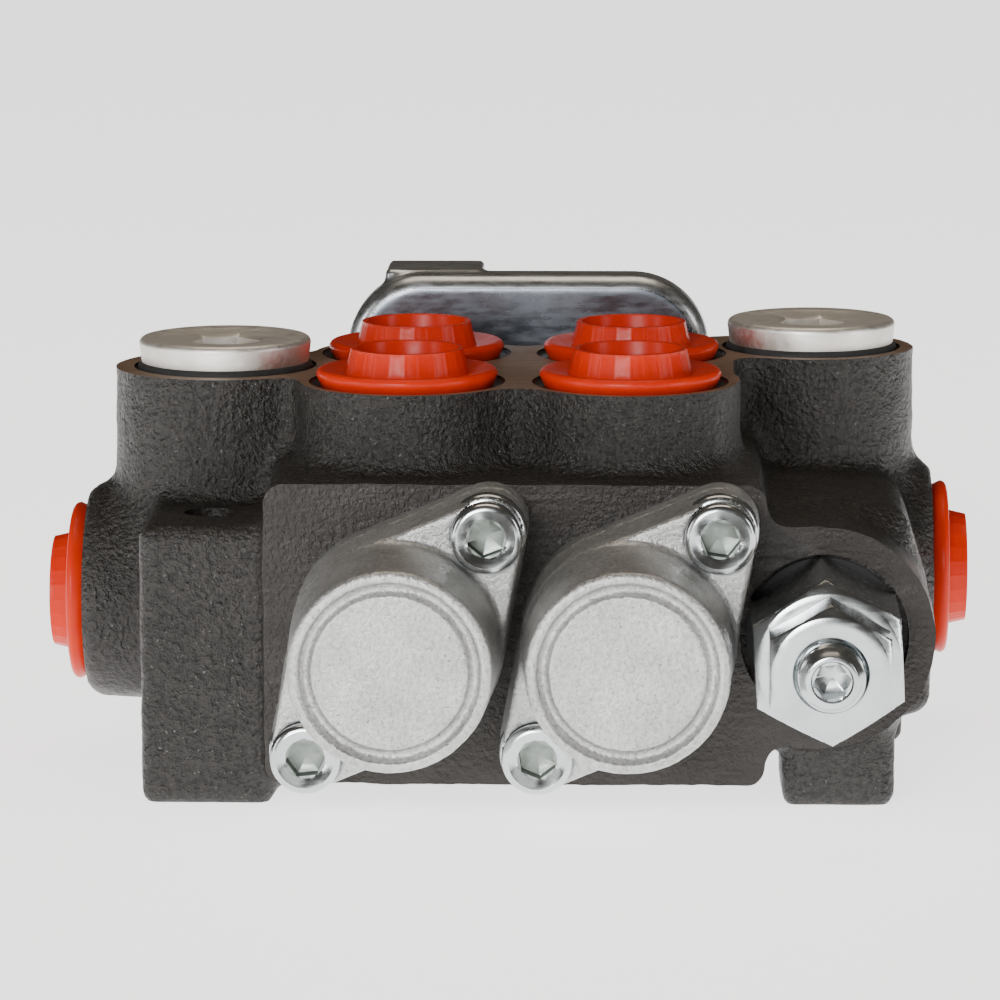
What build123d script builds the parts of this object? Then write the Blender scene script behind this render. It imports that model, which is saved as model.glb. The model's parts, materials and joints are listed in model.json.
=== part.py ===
"""Hydraulic monoblock directional valve: two spools, cross lever linkage, relief valve.

Frame: origin on the mounting plane under the feet, midway between the two spools
and midway between the front and rear work ports.  +X runs from the inlet side to
the outlet side, +Y from the spring caps towards the lever, +Z up to the port plane.
All sizes are in millimetres.
"""
from build123d import *
import math
import os

os.makedirs("parts", exist_ok=True)

# ---------------------------------------------------------------- driving dimensions
port_plane_z = 63.0            # machined top plane above the mounting plane
spool_pitch = 35.0             # distance between the two spool axes
spool_z = 28.0                 # height of the spool axes
spool_r = 9.0
front_y = -40.0                # machined front pad
rear_y = 40.0                  # machined rear pad
pad_half_x = 38.4
pad_top_z = 50.5
pad_bottom_z = 3.7
pad_step = 2.2                 # height of a pad above the cast face round it
pad_corner_r = 3.0
belly_z = 3.3                  # underside between the feet

port_row_y = 16.0              # work ports stand in two rows, at plus and minus this
port_boss_r = 16.7
port_thread_r = 9.5            # G 1/2 minor diameter
port_thread_len = 13.0
port_mouth_r = 10.8
port_mouth_depth = 3.4
spotface_r = 15.4
spotface_depth = 0.6
passage_r = 6.5
boss_root_z = 44.5             # the port bosses start inside the core
port_spine_half_y = 24.0       # metal between the two columns of port bosses

gallery_z = 26.2               # height of the side ports
inlet_y = 1.2                  # left side port and left plug
outlet_y = 25.3                # right side port and right plug
left_end_x = -69.5
right_end_x = 66.8
side_boss_r = 17.0
side_boss_len = 34.0
side_boss_rim_r = 2.4
side_passage_r = 5.0
left_plug_x = -47.5
left_plug_boss_r = 17.5
right_plug_x = 47.0
right_plug_boss_r = 16.7
plug_neck_x = 38.0              # metal joining each plug boss to the core
plug_neck_len = 18.0
plug_neck_w = 24.0
plug_spotface_r = 14.6
plug_spotface_depth = 0.8
plug_bore_r = 10.5
plug_bore_depth = 14.0

foot_hole_x = -47.7
foot_hole_y = 25.0
foot_hole_r = 4.25             # M10 minor diameter
blind_hole_depth = 12.0
foot_top_z = 43.5
foot_corner_r = 2.5
foot_len = 25.0
foot_inset = 2.0               # the feet stand back from the machined pads
left_foot_x = -47.0
left_foot_w = 19.2
right_foot_x = 49.8
right_foot_w = 17.4
right_foot_top_z = 18.0

relief_x = 47.4
relief_z = 27.0
relief_boss_r = 17.0
relief_boss_len = 50.0
relief_recess_r = 12.9
relief_recess_depth = 3.0
relief_bore_r = 9.5
relief_bore_depth = 20.0
relief_chamber_r = 8.0
relief_chamber_depth = 38.0
relief_seat_r = 4.0
relief_seat_depth = 43.0

cap_barrel_r = 15.9
cap_front_r = 15.1
cap_flange_t = 14.0
cap_front_y = -73.6
cap_bore_r = 13.0
ear_x = 13.7                   # cap screws sit on a diagonal through the spool axis
ear_z = 16.9
ear_r = 6.0
ear_recess_r = 5.3
ear_recess_depth = 4.6         # the cap screw heads stand mostly inside the ears

pivot_rise = 25.0              # lever pivot above the spool axes
pivot_z = spool_z + pivot_rise
pivot_y = 64.0
rocker_t = 6.0
bracket_web_t = 3.0
seal_plate_t = 2.0
bracket_half_x = 30.5
bracket_top_z = 72.4
bracket_bottom_z = 1.5
web_front_y = rear_y + seal_plate_t
web_rear_y = web_front_y + bracket_web_t

gallery_ring_r = 11.2          # ring grooves round the spool bores
gallery_ring_w = 8.0
cap_counterbore_r = 12.7       # room for the moving spring seat
cap_counterbore_depth = 8.5
front_seal_r = 11.5
front_seal_y = -30.0
front_seal_len = 3.2
rear_seal_r = 12.0
rear_seal_len = 4.0

check_plug_r = 8.0
check_plug_top_z = 11.0
check_guide_r = 6.5
check_seat_z = 19.0
check_port_r = 4.0

m6_r = 3.0
m6_head_r = 4.95
m6_socket_r = 2.6
m6_socket_depth = 3.2
cap_screw_hole_depth = 15.0
bracket_screw_hole_depth = 12.0
clear = 0.05                   # gap between a screw shank and its hole
running = 0.02                 # radial clearance of a spool in its bore

spool_xs = {"1": -spool_pitch / 2, "2": spool_pitch / 2}
bracket_screw_xz = [(-21, 11.5), (21, 11.5), (-22, 45), (22, 45)]
ports = {
    "a1": (-spool_pitch / 2, -port_row_y),
    "a2": (spool_pitch / 2, -port_row_y),
    "b1": (-spool_pitch / 2, port_row_y),
    "b2": (spool_pitch / 2, port_row_y),
}


def save(part, label):
    """Label one finished piece and write its STEP file."""
    part.label = label
    export_step(part, f"parts/{label}.step")


def level(z):
    """Sketch plane facing up at height z."""
    return Plane.XY.offset(z)


def across(y):
    """Sketch plane facing +Y at depth y; its local axes are world -X and Z."""
    return Plane(origin=(0, y, 0), x_dir=(-1, 0, 0), z_dir=(0, 1, 0))


def facing_front(y):
    """Sketch plane facing -Y at depth y; its local axes are world X and Z."""
    return Plane(origin=(0, y, 0), x_dir=(1, 0, 0), z_dir=(0, -1, 0))


def side(x):
    """Sketch plane facing +X at x; its local axes are world Y and Z."""
    return Plane(origin=(x, 0, 0), x_dir=(0, 1, 0), z_dir=(1, 0, 0))


def along_y(x, z, y=0.0):
    """Frame with local Z along +Y, local X along +X, for turned pieces on a Y axis."""
    return Plane(origin=(x, y, z), x_dir=(1, 0, 0), z_dir=(0, 1, 0))


# ---------------------------------------------------------------- cast valve body
with BuildPart() as valve_body:
    # core around the two spool bores, with raised machined pads front and rear
    with BuildSketch(level(belly_z)):
        Rectangle(2 * pad_half_x, rear_y - front_y - 2 * foot_inset)
    extrude(amount=pad_top_z - belly_z)
    pad_mid_z = (pad_top_z + pad_bottom_z) / 2
    for pad_plane in (facing_front(front_y + pad_step), across(rear_y - pad_step)):
        with BuildSketch(pad_plane):
            with Locations((0, pad_mid_z)):
                RectangleRounded(2 * pad_half_x, pad_top_z - pad_bottom_z, pad_corner_r)
        extrude(amount=pad_step)

    # four work port bosses standing on the core, their tops in one plane
    with BuildSketch(level(boss_root_z)):
        for port_xy in ports.values():
            with Locations(port_xy):
                Circle(port_boss_r)
        Rectangle(2 * (spool_pitch / 2 + port_boss_r), 2 * port_row_y)
        Rectangle(spool_pitch, 2 * port_spine_half_y)
    extrude(amount=port_plane_z - boss_root_z)

    # plug bosses over the inlet and outlet galleries
    with BuildSketch(level(gallery_z)):
        with Locations((left_plug_x, inlet_y)):
            Circle(left_plug_boss_r)
        with Locations((right_plug_x, outlet_y)):
            Circle(right_plug_boss_r)
        with Locations((-plug_neck_x, inlet_y), (plug_neck_x, outlet_y)):
            Rectangle(plug_neck_len, plug_neck_w)
    extrude(amount=port_plane_z - gallery_z)

    # side port bosses, with rounded rims
    for end_x, boss_y, inward in ((left_end_x, inlet_y, 1), (right_end_x, outlet_y, -1)):
        with BuildSketch(side(end_x)):
            with Locations((boss_y, gallery_z)):
                Circle(side_boss_r)
        extrude(amount=inward * side_boss_len)
    rims = valve_body.edges().filter_by(GeomType.CIRCLE).group_by(Axis.X)
    fillet(rims[0] + rims[-1], side_boss_rim_r)

    # left feet, front and rear, each a block with rounded lower corners
    rear_foot_y = rear_y - foot_inset - foot_len
    for foot_plane in (facing_front(front_y + foot_inset), facing_front(rear_foot_y)):
        with BuildSketch(foot_plane):
            with Locations((left_foot_x, foot_top_z / 2)):
                RectangleRounded(left_foot_w, foot_top_z, foot_corner_r)
        extrude(amount=-foot_len)

    # wall between the left feet under the inlet boss, and the right-hand side wall
    with BuildSketch(level(belly_z)):
        with Locations((-46, 0)):
            Rectangle(17, 30)
        with Locations((49, 15)):
            Rectangle(24, 46)
    extrude(amount=gallery_z - belly_z)
    with BuildSketch(level(belly_z + 1)):
        with Locations((56, 24)):
            Rectangle(21.4, 31)
    extrude(amount=gallery_z - belly_z)
    with BuildSketch(level(gallery_z - 4)):
        with Locations((48, -4)):
            Rectangle(26, 34)
    extrude(amount=44 - gallery_z + 4)

    # right feet
    for foot_plane in (facing_front(front_y + foot_inset + 0.5), facing_front(rear_foot_y)):
        with BuildSketch(foot_plane):
            with Locations((right_foot_x, right_foot_top_z / 2)):
                RectangleRounded(right_foot_w, right_foot_top_z, foot_corner_r)
        extrude(amount=-foot_len)

    # relief valve boss, tangent to the front pad
    with BuildSketch(facing_front(front_y)):
        with Locations((relief_x, relief_z)):
            Circle(relief_boss_r)
        with Locations((relief_x - 8, relief_z)):
            Rectangle(16, 2 * relief_boss_r)
    extrude(amount=-relief_boss_len)

    # ---- machining
    for spool_x in spool_xs.values():
        spool_axis = along_y(spool_x, spool_z, front_y)
        with BuildSketch(spool_axis):
            Circle(spool_r + running)
        extrude(amount=rear_y - front_y, mode=Mode.SUBTRACT)
        with BuildSketch(spool_axis):
            Circle(cap_counterbore_r)
        extrude(amount=cap_counterbore_depth, mode=Mode.SUBTRACT)
        with BuildSketch(spool_axis.offset(front_seal_y - front_y)):
            Circle(front_seal_r)
        extrude(amount=front_seal_len, mode=Mode.SUBTRACT)
        with BuildSketch(spool_axis.offset(rear_y - front_y - rear_seal_len)):
            Circle(rear_seal_r)
        extrude(amount=rear_seal_len, mode=Mode.SUBTRACT)
        # annular oil galleries around the spool
        for gallery_y in (-port_row_y, inlet_y, port_row_y):
            with BuildSketch(spool_axis.offset(gallery_y - front_y - gallery_ring_w / 2)):
                Circle(gallery_ring_r)
            extrude(amount=gallery_ring_w, mode=Mode.SUBTRACT)

    # work ports: spotface, mouth, thread and passage down to the spool bore
    for port_xy in ports.values():
        for port_r, top, deep in (
            (spotface_r, 0, spotface_depth),
            (port_mouth_r, 0, spotface_depth + port_mouth_depth),
            (port_thread_r, 0, spotface_depth + port_mouth_depth + port_thread_len),
            (passage_r, 0, port_plane_z - spool_z),
        ):
            with BuildSketch(level(port_plane_z)):
                with Locations(port_xy):
                    Circle(port_r)
            extrude(amount=-deep, mode=Mode.SUBTRACT)

    # plugged top ports
    for plug_xy in ((left_plug_x, inlet_y), (right_plug_x, outlet_y)):
        for port_r, deep in (
            (plug_spotface_r, plug_spotface_depth),
            (plug_bore_r, plug_bore_depth),
            (passage_r, port_plane_z - gallery_z),
        ):
            with BuildSketch(level(port_plane_z)):
                with Locations(plug_xy):
                    Circle(port_r)
            extrude(amount=-deep, mode=Mode.SUBTRACT)

    # side ports, running in to the spool bores; the inlet gallery goes on to the relief valve
    for end_x, port_y, inward, passage_len in (
        (left_end_x, inlet_y, 1, relief_x - left_end_x),
        (right_end_x, outlet_y, -1, right_end_x - spool_pitch / 2),
    ):
        for port_r, deep in (
            (port_mouth_r, port_mouth_depth),
            (port_thread_r, port_mouth_depth + port_thread_len),
            (side_passage_r, passage_len),
        ):
            with BuildSketch(side(end_x)):
                with Locations((port_y, gallery_z)):
                    Circle(port_r)
            extrude(amount=inward * deep, mode=Mode.SUBTRACT)

    # mounting holes: the left pair goes right through, the right pair is blind
    with BuildSketch(level(0)):
        with Locations((foot_hole_x, -foot_hole_y), (foot_hole_x, foot_hole_y)):
            Circle(foot_hole_r)
    extrude(amount=foot_top_z + 2, mode=Mode.SUBTRACT)
    with BuildSketch(level(0)):
        with Locations((-foot_hole_x, -foot_hole_y), (-foot_hole_x, foot_hole_y)):
            Circle(foot_hole_r)
    extrude(amount=blind_hole_depth, mode=Mode.SUBTRACT)

    # relief valve cavity, stepped
    relief_front = along_y(relief_x, relief_z, front_y)
    for cavity_r, deep in (
        (relief_recess_r, relief_recess_depth),
        (relief_bore_r, relief_bore_depth),
        (relief_chamber_r, relief_chamber_depth),
        (relief_seat_r, relief_seat_depth),
    ):
        with BuildSketch(relief_front):
            Circle(cavity_r)
        extrude(amount=deep, mode=Mode.SUBTRACT)

    # cap screw holes in the front pad and bracket screw holes in the rear pad
    with BuildSketch(facing_front(front_y)):
        for spool_x in spool_xs.values():
            with Locations((spool_x + ear_x, spool_z + ear_z), (spool_x - ear_x, spool_z - ear_z)):
                Circle(m6_r + clear)
    extrude(amount=-cap_screw_hole_depth, mode=Mode.SUBTRACT)
    with BuildSketch(across(rear_y)):
        with Locations(bracket_screw_xz):
            Circle(m6_r + clear)
    extrude(amount=-bracket_screw_hole_depth, mode=Mode.SUBTRACT)

    # load check cavity, opened from below between the spools
    for cavity_r, top_z in (
        (check_plug_r, check_plug_top_z),
        (check_guide_r, check_seat_z),
        (check_port_r, gallery_z),
    ):
        with BuildSketch(level(belly_z)):
            with Locations((0, inlet_y)):
                Circle(cavity_r)
        extrude(amount=top_z - belly_z, mode=Mode.SUBTRACT)
save(valve_body.part, "valve_body")

# ---------------------------------------------------------------- spools and centring
spool_front_y = -38.0
spool_rear_y = 50.0
groove_root_r = 5.6
groove_w = 5.2
spring_wire_r = 1.1
spring_mean_r = 9.4
spring_turns = 5
seat_front_y = -40.0           # front face of the moving seat at neutral
fixed_seat_y = -64.0           # rear face of the fixed seat
stud_r = 3.5
seat_t = 2.0
screw_head_y = -60.0           # underside of the spool screw's head

# half section of a domed link nut: depth from the middle of the rocker plate, and radius
nut_r = 9.0
nut_bore_r = stud_r + clear
dome_r = 14.0
dome_tip = rocker_t / 2 + 0.75


def dome_depth(radius):
    """Depth of the dome's surface at a radius."""
    return dome_tip + dome_r - math.sqrt(dome_r**2 - radius**2)


def nut_point(hand, depth, radius):
    """Section point in the world's Y and Z, on the front or the rear of the rocker plate."""
    return (pivot_y + hand * depth, spool_z + radius)


nut_back = dome_depth(nut_r) + 1.2
nut_dome = [(dome_depth(radius), radius) for radius in (nut_bore_r, 6.5, nut_r)]
nut_sides = [nut_dome[-1], (nut_back, nut_r), (nut_back, nut_bore_r), nut_dome[0]]

for number, spool_x in spool_xs.items():
    axis = along_y(spool_x, spool_z)
    # lands and metering grooves, then the tail that carries the link stud
    with BuildPart() as spool:
        with BuildSketch(axis.offset(spool_front_y)):
            Circle(spool_r)
        extrude(amount=spool_rear_y - spool_front_y)
        for groove_y in (-24.5, -7.4, 8.6, 25.7):
            with BuildSketch(axis.offset(groove_y - groove_w / 2)):
                Circle(spool_r + 1)
                Circle(groove_root_r, mode=Mode.SUBTRACT)
            extrude(amount=groove_w, mode=Mode.SUBTRACT)
        chamfer(spool.faces().sort_by(Axis.Y)[-1].edges(), 1.0)
        with BuildSketch(axis.offset(spool_front_y)):
            Circle(4.0 + clear)
        extrude(amount=12, mode=Mode.SUBTRACT)
        with BuildSketch(axis.offset(spool_rear_y)):
            Circle(stud_r + clear)
        extrude(amount=-10, mode=Mode.SUBTRACT)
    save(spool.part, f"spool_{number}")

    # screw that ties the moving spring seat to the spool
    with BuildPart() as spool_screw:
        with BuildSketch(axis.offset(screw_head_y)):
            Circle(4.0)
        extrude(amount=33)
        with BuildSketch(axis.offset(screw_head_y)):
            Circle(6.5)
        extrude(amount=-3.5)
        with BuildSketch(axis.offset(screw_head_y - 3.5)):
            RegularPolygon(2.9, 6)
        extrude(amount=2.4, mode=Mode.SUBTRACT)
    save(spool_screw.part, f"spool_screw_{number}")

    with BuildPart() as moving_seat:
        with BuildSketch(axis.offset(seat_front_y)):
            Circle(12.3)
            Circle(4.1, mode=Mode.SUBTRACT)
        extrude(amount=seat_t)
        with BuildSketch(axis.offset(seat_front_y - 5)):
            Circle(7.6)
            Circle(4.1, mode=Mode.SUBTRACT)
        extrude(amount=5)
    save(moving_seat.part, f"moving_seat_{number}")

    with BuildPart() as fixed_seat:
        with BuildSketch(axis.offset(fixed_seat_y - seat_t)):
            Circle(12.8)
            Circle(7.4, mode=Mode.SUBTRACT)
        extrude(amount=seat_t)
    save(fixed_seat.part, f"fixed_seat_{number}")

    # centring spring, held between the two seats
    with BuildPart() as centring_spring:
        spring_len = seat_front_y - fixed_seat_y - 2 * spring_wire_r - 0.2
        spring_start = (spool_x, fixed_seat_y + spring_wire_r + 0.1, spool_z)
        with BuildLine() as coil:
            Helix(spring_len / spring_turns, spring_len, spring_mean_r,
                  center=spring_start, direction=(0, 1, 0))
        with BuildSketch(Plane(origin=coil.line @ 0, z_dir=coil.line % 0)):
            Circle(spring_wire_r)
        sweep(is_frenet=True)
    save(centring_spring.part, f"centring_spring_{number}")

    # die-cast cap: drafted barrel on a flange with two diagonal ears
    with BuildPart() as spool_cap:
        ears = [(spool_x + ear_x, spool_z + ear_z), (spool_x - ear_x, spool_z - ear_z)]
        flange_y = front_y - cap_flange_t
        with BuildSketch(facing_front(front_y)):
            with Locations((spool_x, spool_z)):
                Circle(cap_barrel_r + 0.5)
            with Locations(ears):
                Circle(ear_r)
            make_hull()
        extrude(amount=cap_flange_t)
        fillet(spool_cap.faces().sort_by(Axis.Y)[0].edges(), 0.6)
        with BuildSketch(along_y(spool_x, spool_z, flange_y)):
            Circle(cap_barrel_r)
        with BuildSketch(along_y(spool_x, spool_z, cap_front_y)):
            Circle(cap_front_r)
        loft()
        fillet(spool_cap.faces().sort_by(Axis.Y)[0].edges(), 1.0)
        with BuildSketch(along_y(spool_x, spool_z, cap_front_y)):
            Circle(cap_front_r - 2.3)
            Circle(cap_front_r - 3.0, mode=Mode.SUBTRACT)
        extrude(amount=0.5, mode=Mode.SUBTRACT)
        for hollow_r, hollow_y in ((cap_bore_r, fixed_seat_y - seat_t), (11.0, cap_front_y + 3)):
            with BuildSketch(along_y(spool_x, spool_z, front_y)):
                Circle(hollow_r)
            extrude(amount=hollow_y - front_y, mode=Mode.SUBTRACT)
        with BuildSketch(facing_front(flange_y)):
            with Locations(ears):
                Circle(ear_recess_r)
        extrude(amount=-ear_recess_depth, mode=Mode.SUBTRACT)
        with BuildSketch(facing_front(flange_y)):
            with Locations(ears):
                Circle(m6_r + 0.3)
        extrude(amount=-cap_flange_t, mode=Mode.SUBTRACT)
    save(spool_cap.part, f"spool_cap_{number}")

    # threaded link stud with its two domed nuts, which holds the rocker plate
    with BuildPart() as link_stud:
        with BuildSketch(axis.offset(41)):
            Circle(stud_r)
        extrude(amount=36)
        chamfer(link_stud.faces().sort_by(Axis.Y)[-1].edges(), 0.7)
    save(link_stud.part, f"link_stud_{number}")

    with BuildPart() as link_nuts:
        for hand in (-1, 1):
            with BuildSketch(Plane.YZ.offset(spool_x)):
                with BuildLine():
                    Polyline(*[nut_point(hand, depth, radius) for depth, radius in nut_sides])
                    ThreePointArc(*[nut_point(hand, depth, radius) for depth, radius in nut_dome])
                make_face()
            revolve(axis=Axis((spool_x, 0, spool_z), (0, 1, 0)))
    save(link_nuts.part, f"link_nuts_{number}")

# ---------------------------------------------------------------- spool seals
with BuildPart() as spool_seals:
    for spool_x in spool_xs.values():
        for seal_y, seal_len, seal_r in ((-29.9, 3.0, 11.45), (36.2, 3.7, 11.95)):
            with BuildSketch(along_y(spool_x, spool_z, seal_y)):
                Circle(seal_r)
                Circle(spool_r + clear, mode=Mode.SUBTRACT)
            extrude(amount=seal_len)
save(spool_seals.part, "spool_seals")


def socket_screw(head_r, head_h, shank_r, shank_len, socket_r, socket_deep):
    """Socket head cap screw along Z: its head stands on the XY plane."""
    with BuildPart() as screw:
        with BuildSketch():
            Circle(head_r)
        extrude(amount=head_h)
        chamfer(screw.faces().sort_by(Axis.Z)[-1].edges(), 0.08 * head_r)
        with BuildSketch():
            Circle(shank_r)
        extrude(amount=-shank_len)
        with BuildSketch(level(head_h)):
            RegularPolygon(socket_r, 6, major_radius=False)
        extrude(amount=-socket_deep, mode=Mode.SUBTRACT)
    return screw.part


# ---------------------------------------------------------------- cap screws, washers
cap_screw_xz = [(sx + s * ear_x, spool_z + s * ear_z) for sx in spool_xs.values() for s in (1, -1)]
washer_t = 1.0
washer_r = 5.2
washer_back_y = front_y - cap_flange_t + ear_recess_depth
with BuildPart() as cap_washers:
    with BuildSketch(facing_front(washer_back_y)):
        with Locations(cap_screw_xz):
            Circle(washer_r)
            Circle(m6_r + 0.2, mode=Mode.SUBTRACT)
    extrude(amount=washer_t)
save(cap_washers.part, "cap_washers")

cap_screw = socket_screw(m6_head_r, 5.6, m6_r, 22, m6_socket_r, m6_socket_depth)
with BuildPart() as cap_screws:
    with Locations(facing_front(washer_back_y - washer_t)):
        with Locations(cap_screw_xz):
            add(cap_screw)
save(cap_screws.part, "cap_screws")

# ---------------------------------------------------------------- lever side: seals and bracket
bracket_mid_z = (bracket_top_z + bracket_bottom_z) / 2
with BuildPart() as seal_plate:
    with BuildSketch(across(rear_y)):
        with Locations((0, 28)):
            RectangleRounded(56, 42, 3)
        for spool_x in spool_xs.values():
            with Locations((-spool_x, spool_z)):
                Circle(spool_r + 0.6, mode=Mode.SUBTRACT)
        with Locations(bracket_screw_xz):
            Circle(m6_r + 0.3, mode=Mode.SUBTRACT)
    extrude(amount=seal_plate_t)
save(seal_plate.part, "seal_plate")

# pressed bracket: flat web with a rim turned back all round, and one deeper stop tab
with BuildPart() as lever_bracket:
    bracket_h = bracket_top_z - bracket_bottom_z
    rim_depth = 8.0
    stop_tab_y = 60.0
    with BuildSketch(across(web_front_y)):
        with Locations((0, bracket_mid_z)):
            RectangleRounded(2 * bracket_half_x, bracket_h, 13)
    extrude(amount=rim_depth)
    fillet(lever_bracket.faces().sort_by(Axis.Y)[0].edges(), 2.9)
    with BuildSketch(across(web_rear_y)):
        with Locations((0, bracket_mid_z)):
            RectangleRounded(2 * (bracket_half_x - 2.5), bracket_h - 5, 10.5)
    extrude(amount=rim_depth, mode=Mode.SUBTRACT)
    with BuildSketch(level(bracket_top_z + 0.6)):
        with Locations((-16.0, (web_rear_y + stop_tab_y) / 2)):
            Rectangle(16.5, stop_tab_y - web_rear_y)
    extrude(amount=-3.1)
    with BuildSketch(across(web_front_y)):
        for spool_x in spool_xs.values():
            with Locations((-spool_x, spool_z)):
                Circle(spool_r + 1.5)
        with Locations(bracket_screw_xz):
            Circle(m6_r + 0.3)
    extrude(amount=bracket_web_t, mode=Mode.SUBTRACT)
save(lever_bracket.part, "lever_bracket")

bracket_screw = socket_screw(m6_head_r, 6, m6_r, 16, m6_socket_r, m6_socket_depth)
with BuildPart() as bracket_screws:
    with Locations(across(web_rear_y)):
        with Locations(bracket_screw_xz):
            add(bracket_screw)
save(bracket_screws.part, "bracket_screws")

# ---------------------------------------------------------------- lever pivot
# Each tilt axis runs from the pivot through the other spool's link, so that tilting
# about it moves one spool only.
tilt_dir_1 = Vector(-spool_pitch / 2, 0, -pivot_rise).normalized()
tilt_dir_2 = Vector(spool_pitch / 2, 0, -pivot_rise).normalized()
pivot_point = (0, pivot_y, pivot_z)
post_r = 4.5
ring_inner_r = 6.3
ring_outer_r = 9.3
rocker_open_r = 11.0
pin_r = 1.8


def pin_plane(direction):
    """Plane through the pivot, square to a tilt axis."""
    return Plane(origin=pivot_point, x_dir=(0, 1, 0), z_dir=direction)


with BuildPart() as pivot_post:
    with BuildSketch(along_y(0, pivot_z, web_rear_y)):
        Circle(9)
    extrude(amount=4)
    with BuildSketch(along_y(0, pivot_z, web_rear_y)):
        Circle(post_r)
    extrude(amount=pivot_y + 5 - web_rear_y)
    fillet(pivot_post.edges().filter_by(GeomType.CIRCLE).sort_by(Axis.Y)[-1], 1)
    with BuildSketch(pin_plane(tilt_dir_1)):
        Circle(pin_r + 0.01)
    extrude(amount=post_r + 1, both=True, mode=Mode.SUBTRACT)
save(pivot_post.part, "pivot_post")

with BuildPart() as pivot_pin:
    with BuildSketch(pin_plane(tilt_dir_1)):
        Circle(pin_r)
    extrude(amount=ring_outer_r - 0.4, both=True)
save(pivot_pin.part, "pivot_pin")

with BuildPart() as gimbal_ring:
    with BuildSketch(along_y(0, pivot_z, pivot_y - rocker_t / 2)):
        Circle(ring_outer_r)
        Circle(ring_inner_r, mode=Mode.SUBTRACT)
    extrude(amount=rocker_t)
    for direction in (tilt_dir_1, tilt_dir_2):
        with BuildSketch(pin_plane(direction)):
            Circle(pin_r + clear)
        extrude(amount=ring_outer_r + 1, both=True, mode=Mode.SUBTRACT)
save(gimbal_ring.part, "gimbal_ring")

with BuildPart() as rocker_pins:
    for hand in (1, -1):
        with BuildSketch(pin_plane(tilt_dir_2).offset(hand * (ring_inner_r + 0.5))):
            Circle(pin_r)
        extrude(amount=hand * 9)
save(rocker_pins.part, "rocker_pins")

hub_screw_r = 14.0
with BuildPart() as rocker_plate:
    with BuildSketch(along_y(0, 0, pivot_y - rocker_t / 2)):
        with Locations((-spool_pitch / 2, -spool_z), (spool_pitch / 2, -spool_z)):
            Circle(10.5)
        with Locations((0, -pivot_z)):
            Circle(17)
        make_hull()
    extrude(amount=rocker_t)
    chamfer(rocker_plate.faces().filter_by(Axis.Y).edges(), 0.6)
    with BuildSketch(along_y(0, 0, pivot_y - rocker_t / 2)):
        with Locations((0, -pivot_z)):
            Circle(rocker_open_r)
            with PolarLocations(hub_screw_r, 3, start_angle=90):
                Circle(2 + clear)
        with Locations((-spool_pitch / 2, -spool_z), (spool_pitch / 2, -spool_z)):
            Circle(5.6)
    extrude(amount=rocker_t, mode=Mode.SUBTRACT)
    with BuildSketch(pin_plane(tilt_dir_2)):
        Circle(pin_r + 0.01)
    extrude(amount=ring_inner_r + 9.5, both=True, mode=Mode.SUBTRACT)
save(rocker_plate.part, "rocker_plate")

# lever hub: a cup over the gimbal, ending in the threaded stub that takes the handle
stub_r = 5.0
hub_back_y = pivot_y + rocker_t / 2
with BuildPart() as lever_hub:
    hub_plane = along_y(0, pivot_z, hub_back_y)
    with BuildSketch(hub_plane):
        Circle(17)
    extrude(amount=5)
    with BuildSketch(hub_plane):
        Circle(10)
    extrude(amount=13)
    with BuildSketch(hub_plane):
        Circle(stub_r)
    extrude(amount=31)
    fillet(lever_hub.edges().filter_by(GeomType.CIRCLE).filter_by_position(
        Axis.Y, hub_back_y + 12.9, hub_back_y + 13.1).sort_by(SortBy.LENGTH)[-1], 2)
    chamfer(lever_hub.faces().sort_by(Axis.Y)[-1].edges(), 0.8)
    with BuildSketch(hub_plane):
        Circle(rocker_open_r)
    extrude(amount=2.6, mode=Mode.SUBTRACT)
    with BuildSketch(hub_plane):
        Circle(8)
    extrude(amount=8, mode=Mode.SUBTRACT)
    with BuildSketch(hub_plane):
        with PolarLocations(hub_screw_r, 3, start_angle=90):
            Circle(2.1)
    extrude(amount=5, mode=Mode.SUBTRACT)
save(lever_hub.part, "lever_hub")

hub_screw = socket_screw(3.5, 3.6, 2.0, 10, 1.5, 2)
with BuildPart() as hub_screws:
    with Locations(along_y(0, pivot_z, hub_back_y + 5)):
        with PolarLocations(hub_screw_r, 3, start_angle=90):
            add(hub_screw)
save(hub_screws.part, "hub_screws")

# ---------------------------------------------------------------- relief valve
seat_y = front_y + relief_recess_depth
relief_seal_t = 0.6
hex_back_y = seat_y - relief_seal_t
hex_front_y = -61.0
nut_front_y = -69.0
screw_front_y = -74.0
adjuster_r = 5.0
with BuildPart() as relief_cartridge:
    with BuildSketch(facing_front(hex_back_y)):
        with Locations((relief_x, relief_z)):
            RegularPolygon(11, 6, major_radius=False, rotation=33)
    extrude(amount=hex_back_y - hex_front_y)
    with BuildSketch(facing_front(hex_back_y)):
        with Locations((relief_x, relief_z)):
            Circle(9.45)
    extrude(amount=-(relief_bore_depth - relief_recess_depth))
    # spring chamber and the tapped hole for the adjusting screw
    with BuildSketch(along_y(relief_x, relief_z, hex_front_y)):
        Circle(adjuster_r + clear)
    extrude(amount=60, mode=Mode.SUBTRACT)
    with BuildSketch(along_y(relief_x, relief_z, hex_front_y + 8)):
        Circle(6.6)
    extrude(amount=60, mode=Mode.SUBTRACT)
save(relief_cartridge.part, "relief_cartridge")

with BuildPart() as relief_seal:
    with BuildSketch(facing_front(seat_y)):
        with Locations((relief_x, relief_z)):
            Circle(12.0)
            Circle(9.6, mode=Mode.SUBTRACT)
    extrude(amount=relief_seal_t)
save(relief_seal.part, "relief_seal")

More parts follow.
